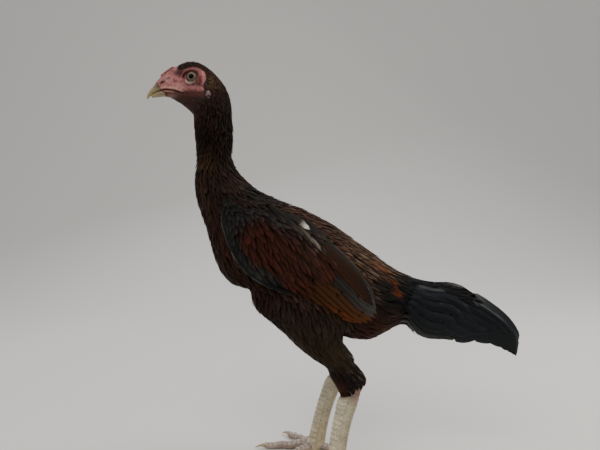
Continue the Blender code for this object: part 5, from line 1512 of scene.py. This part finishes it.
def makeEdgeQuills(name, side):
    # grey quills with pale edges, in front round the shoulder and behind over the secondaries
    for piece, table in (("leading", leadingEdge), ("tertial", tertials)):
        count = len(table)
        roots, tips = np.array([row[0] for row in table]), np.array([row[1] for row in table])
        front = piece == "leading"
        bends = np.array([row[2] for row in leadingEdge]) if front else np.full(count, 0.035)
        ends = wingThickness(tips[:, 0]) * (0.62 if front else 1.0) + (0 if front else 0.0012)
        starts = wingThickness(roots[:, 0]) * (0.55 if front else 0.85)
        points, maps, length = wingVanes(side, longVane, roots, tips, bends, np.full(count, 0.0066 if front else 0.0120),
                                         starts, ends, 0.22 if front else 0.10, 0.2)
        tint = np.broadcast_to(wingTones["shoulder" if front else "tertial"], points.shape).copy()
        tint = tint * fleck(count, 0.15)[:, None]
        if not front:
            # rusty inner webs, dull edges, and a pale rim on the outermost one
            tint = mix(tint, wingTones["bayEdge"], smooth(0.55, 0.15, maps[..., 0]) * 0.25)
            tint = mix(tint, wingTones["tertialEdge"], smooth(0.80, 0.95, maps[..., 0]) * 0.8)
        rim = smooth(0.26, 0.04, maps[..., 0]) if front else smooth(0.80, 0.92, maps[..., 0]) * (np.arange(count) == 1)[:, None]
        rim = rim * smooth(0.10, 0.35, maps[..., 1]) * draw.uniform(0.25 if front else 0.7, 0.8, count)[:, None]
        tint = mix(tint, wingTones["quillEdge"], rim)
        featherPiece("feathers_" + piece + "_" + name, longVane, points, maps, tint, wingUnwrap(roots), length, contour,
                     "wing_feathers", flipped=side > 0, nodes=("wing_" + name,))


def makeCoverts(name, side):
    roots, tips, bends, widths, starts, ends = [], [], [], [], [], []
    for tier, (count, low, high, slants, size, wide) in enumerate(covertTiers + scapulars):
        over = 0.0008 if tier >= len(covertTiers) else 0.0
        for n in range(count):
            s = n / (count - 1)
            tip = np.array(low) + (np.array(high) - np.array(low)) * s
            inside = math.sin(math.pi * s)
            tip = tip + draw.normal(0, 0.0028, 2) * (0.25 + 0.75 * inside)
            slant = curve(np.array(slants)[:, None], 2 * s)[0] + draw.normal(0, 0.07)
            root = tip - np.array((math.cos(slant), math.sin(slant))) * size * draw.uniform(0.88, 1.12)
            roots.append(root)
            tips.append(tip)
            bends.append(0.02 + draw.normal(0, 0.015))
            widths.append(wide * draw.uniform(0.85, 1.20))
            starts.append(wingThickness(root[0]) - 0.0034 + over)
            ends.append(wingThickness(tip[0]) - 0.0004 + draw.uniform(-0.0003, 0.0004) + over)
    roots, tips, bends, widths, starts, ends = (np.array(part) for part in (roots, tips, bends, widths, starts, ends))
    # where the shoulder turns inwards the body's own feathers cover it
    kept = np.full(len(roots), True)
    for share in (0.0, 0.5, 1.0):
        spot = onWing(1, *(roots * (1 - share) + tips * share).T, 0.0)
        kept &= (flank(spot[:, 0], spot[:, 2]) > 0.031) | (spot[:, 2] < 0.300)
    print("coverts", name, kept.sum(), "of", len(kept))
    roots, tips, bends, widths, starts, ends = (part[kept] for part in (roots, tips, bends, widths, starts, ends))
    points, maps, length = wingVanes(side, covertVane, roots, tips, bends, widths, starts, ends, 0.03)
    tint = covertTint(tips, maps)
    if side < 0:
        # one white feather of the left back
        white = np.argmin(np.hypot(tips[:, 0] - 0.0940, tips[:, 1] - 0.0490))
        tint[white] = mix(tint[white], rgb("d8d2c6"), 0.9 * bump(maps[white][:, 1] - 0.82, 0.12))
    featherPiece("feathers_coverts_" + name, covertVane, points, maps, tint, wingUnwrap(roots),
                 length, contour, "wing_feathers", flipped=side > 0, nodes=("wing_" + name,))


for sideName, sideSign in sides:
    makeArm(sideName, sideSign)
    makeFlights(sideName, sideSign)
    makeEdgeQuills(sideName, sideSign)
    makeCoverts(sideName, sideSign)
print("wings made")


# tail: upper x, upper z, lower x, lower z, half width, from the rump to the tip
tailRows = [
    (0.0855, 0.2415, 0.0655, 0.1680, 0.0310), (0.0995, 0.2350, 0.0835, 0.1750, 0.0235),
    (0.1225, 0.2275, 0.1060, 0.1600, 0.0210), (0.1485, 0.2230, 0.1325, 0.1590, 0.0180),
    (0.1735, 0.2100, 0.1525, 0.1550, 0.0150), (0.1985, 0.1930, 0.1775, 0.1530, 0.0120),
    (0.2185, 0.1760, 0.1985, 0.1480, 0.0090), (0.2315, 0.1580, 0.2120, 0.1395, 0.0060),
    (0.2320, 0.1420, 0.2200, 0.1340, 0.0035), (0.2285, 0.1290, 0.2260, 0.1280, 0.0010)]
# share of the tail's depth at mid length, tip's station, its share of the depth, width, lift off the tent
tailFeathers = [
    (0.81, 5.10, 0.93, 0.0200, 0.0012), (0.70, 6.20, 0.92, 0.0210, 0.0015), (0.58, 7.00, 0.90, 0.0215, 0.0018),
    (0.45, 7.80, 0.84, 0.0215, 0.0021), (0.32, 8.35, 0.74, 0.0215, 0.0024), (0.19, 8.75, 0.60, 0.0200, 0.0027),
    (0.06, 8.95, 0.45, 0.0180, 0.0030)]
tailCoverts = [
    (0.80, 3.60, 0.86, 0.0180, 0.0034), (0.66, 4.50, 0.82, 0.0190, 0.0035), (0.52, 5.30, 0.74, 0.0190, 0.0036),
    (0.38, 5.90, 0.60, 0.0190, 0.0037), (0.24, 6.30, 0.42, 0.0180, 0.0038), (0.10, 6.60, 0.24, 0.0160, 0.0039),
    (0.70, 3.00, 0.80, 0.0150, 0.0042), (0.54, 3.40, 0.66, 0.0150, 0.0043), (0.38, 3.80, 0.52, 0.0150, 0.0044),
    (0.22, 4.10, 0.36, 0.0150, 0.0045), (0.08, 4.50, 0.18, 0.0140, 0.0045)]
# loose fluff that hangs under the root of the tail
underTail = {"count": 34, "stations": (1.5, 3.7), "shares": (0.80, 1.02), "width": 0.0052}
# the gloss colour is used for painted sheen lines along the tail feathers
tailTones = {key: rgb(value) for key, value in {
    "black": "0a0a0d", "gloss": "1e2127", "covert": "0b0a0c", "under": "171412", "underEdge": "3b3632"}.items()}


def onTail(side, station, share, lift):
    row = curve(tailRows, station)
    tent = 0.0010 + 0.88 * row[..., 4] * np.sin(0.68 * math.pi * np.clip(share, 0.0, 1.1)) ** 0.8
    # at the rump it is as round as the trunk
    oval = row[..., 4] * np.sqrt(1 - (1 - 2 * np.clip(share, 0.004, 0.996)) ** 2)
    tent = tent + (oval - tent) * smooth(3.2, 0.8, station)
    x = row[..., 0] + (row[..., 2] - row[..., 0]) * share
    z = row[..., 1] + (row[..., 3] - row[..., 1]) * share
    # along the ridge the two sides meet
    return np.stack([x, side * (tent + lift) * smooth(-0.02, 0.13, share), z], -1)


def tailVane(side, pattern, midShare, tipStation, tipShare, width, off, start=0.3, sunk=0.0100):
    # a tail feather keeps its width, though the depth of the tail changes along it
    a, c, h = pattern["points"].T
    rootShare = 0.30 + 0.32 * midShare if sunk > 0.008 else midShare
    station = start + (tipStation - start) * a
    bend = midShare * 2 - 0.5 * (rootShare + tipShare)
    middle = (1 - a) ** 2 * rootShare + 2 * a * (1 - a) * bend + a * a * tipShare
    row = curve(tailRows, station)
    depth = np.maximum(np.hypot(row[:, 0] - row[:, 2], row[:, 1] - row[:, 3]), 0.006)
    half = width / 2 / depth * np.minimum(0.5 + 2 * a, 1.0)
    lift = off + 0.035 * c * half * depth - sunk * np.maximum(1 - a / 0.3, 0.0) + 0.0005 * h - 0.0008 * c ** 2
    return onTail(side, station, middle + c * half, lift), np.stack([c * 0.5 + 0.5, a], -1)


# a painted sheen along the edge of the long sickle feathers
sickle = [(0.0789, 0.2165), (0.1080, 0.2140), (0.1315, 0.2076), (0.1510, 0.1950), (0.1680, 0.1806), (0.1875, 0.1642)]
fluffVane = [vanePattern(26, 7, 0.65, 0.20) for n in range(5)]


def makeTail():
    first, last = underTail["stations"]
    upper, lower = underTail["shares"]
    for name, side in sides:
        points, maps, tints, lengths, unwraps = [], [], [], [], []
        fluff = []
        for n in range(underTail["count"]):
            share = draw.uniform(0, 1)
            tip = first + (last - first) * share ** 0.8 + draw.normal(0, 0.08)
            place = upper + (lower - upper) * draw.uniform(0.1, 1)
            fluff.append((place - 0.10 * (1 - share), tip, place + 0.03, underTail["width"] * draw.uniform(0.8, 1.3),
                          draw.uniform(0.0004, 0.0022)))
        for table, base, edge, amount in ((tailFeathers, "black", "gloss", 0.5), (tailCoverts, "covert", "gloss", 0.5),
                                          (fluff, "under", "underEdge", 0.5)):
            loose = table is fluff
            for midShare, tipStation, tipShare, width, off in table:
                pattern = (fluffVane if loose else longVane)[draw.integers(0, 5)]
                start, sunk = (max(tipStation - 1.5, 0.1), 0.004) if loose else (0.3, 0.0100)
                made, spread = tailVane(side, pattern, midShare, tipStation + draw.normal(0, 0.04), tipShare, width, off,
                                        start, sunk)
                tint = np.broadcast_to(tailTones[base] * draw.uniform(0.8, 1.3), made.shape)
                fade = smooth(0.150, 0.215, made[:, 0])[:, None]
                # a soft line of painted sheen lies along the outer web
                tint = mix(tint, tailTones[edge], bump(spread[:, 0] - 0.32, 0.20) * amount)
                if loose:
                    tint = mix(tint, tailTones[edge], smooth(0.3, 0.9, spread[:, 1]) * draw.uniform(0, 1))
                # painted sheen along the sickle feathers' edge
                tint = mix(tint, tailTones["gloss"] * 1.5, bump(lineDistance(made[:, [0, 2]], sickle)[0], 0.0014) * 0.5)
                tint = tint * (1 - 0.6 * fade) * (0.55 + 0.45 * smooth(0.082, 0.125, made[:, 0])[:, None])
                points.append(made)
                maps.append(spread)
                tints.append(tint)
                lengths.append(0.03 + 0.016 * tipStation)
                unwraps.append((midShare * 0.8 + 0.05, 0.04 + 0.05 * len(unwraps) % 0.9))
        featherPiece("feathers_tail_" + name, longVane, np.array(points), np.array(maps), np.array(tints),
                     np.array(unwraps), np.array(lengths), glossy, "tail_feathers", flipped=side < 0, nodes=("tail",))


makeTail()
print("tail made")


# floor, lights and camera
studio = {
    "floor": {"wide": 8.0, "front": -3.0, "back": 2.6, "rise": 3.0, "curve": 1.6},
    "world": ("e6e8ea", 0.62),
    "lamps": (((-0.45, -1.15, 1.75), 1.3, 19, "fff8ee"), ((1.2, 0.3, 1.5), 0.8, 18, "fffaf2"),
              ((-0.6, 1.2, 1.5), 1.2, 10, "f2f6ff")),
}


def makeStage():
    form = studio["floor"]
    deselect()
    bpy.ops.mesh.primitive_plane_add(size=1.0, location=(0, (form["front"] + form["back"]) / 2, -0.0004))
    floor = bpy.context.object
    floor.name = "floor"
    floor.scale = (form["wide"], form["back"] - form["front"], 1.0)
    bpy.ops.object.transform_apply(location=True, rotation=True, scale=True)
    bpy.ops.object.mode_set(mode="EDIT")
    bpy.ops.mesh.select_all(action="DESELECT")
    bpy.ops.object.mode_set(mode="OBJECT")
    for edge in floor.data.edges:
        edge.select = all(floor.data.vertices[n].co.y > form["back"] - 0.01 for n in edge.vertices)
    for vertex in floor.data.vertices:
        vertex.select = vertex.co.y > form["back"] - 0.01
    bpy.ops.object.mode_set(mode="EDIT")
    bpy.ops.mesh.select_mode(type="EDGE")
    bpy.ops.mesh.extrude_region_move(TRANSFORM_OT_translate={"value": (0, 0, form["rise"])})
    bpy.ops.mesh.select_all(action="DESELECT")
    bpy.ops.object.mode_set(mode="OBJECT")
    for edge in floor.data.edges:
        ends = [floor.data.vertices[n].co for n in edge.vertices]
        edge.select = all(end.y > form["back"] - 0.01 and end.z < 0.1 for end in ends)
    bpy.ops.object.mode_set(mode="EDIT")
    bpy.ops.mesh.bevel(offset=form["curve"], segments=24, affect="EDGES")
    bpy.ops.mesh.select_all(action="SELECT")
    bpy.ops.mesh.normals_make_consistent(inside=False)
    bpy.ops.object.mode_set(mode="OBJECT")
    floor.data.shade_smooth()
    paper, tree, shader = newMaterial("pale_matt_paper", {"Roughness": 0.9, "Base Color": linear("dedcd8")})
    floor.data.materials.append(paper)
    world = bpy.data.worlds.new("studio")
    world.use_nodes = True
    world.node_tree.nodes["Background"].inputs[0].default_value = linear(studio["world"][0])
    world.node_tree.nodes["Background"].inputs[1].default_value = studio["world"][1]
    bpy.context.scene.world = world
    for place, size, power, colour in studio["lamps"]:
        bpy.ops.object.light_add(type="AREA", location=place)
        lamp = bpy.context.object
        lamp.data.size = size
        lamp.data.energy = power
        lamp.data.color = linear(colour)[:3]
        lamp.rotation_euler = (Vector((0, 0, 0.26)) - Vector(place)).to_track_quat("-Z", "Y").to_euler()
    view = bpy.data.cameras.new("photoView")
    view.lens = 27.0
    view.sensor_width = 36.0
    camera = bpy.data.objects.new("photoView", view)
    bpy.context.scene.collection.objects.link(camera)
    turn = Matrix.Rotation(math.radians(90), 4, "X") @ Matrix.Rotation(math.radians(-2), 4, "Z")
    camera.matrix_world = Matrix.Translation((-0.0425, -0.580, 0.3067)) @ turn
    bpy.context.scene.camera = camera


makeStage()

print("pieces done")
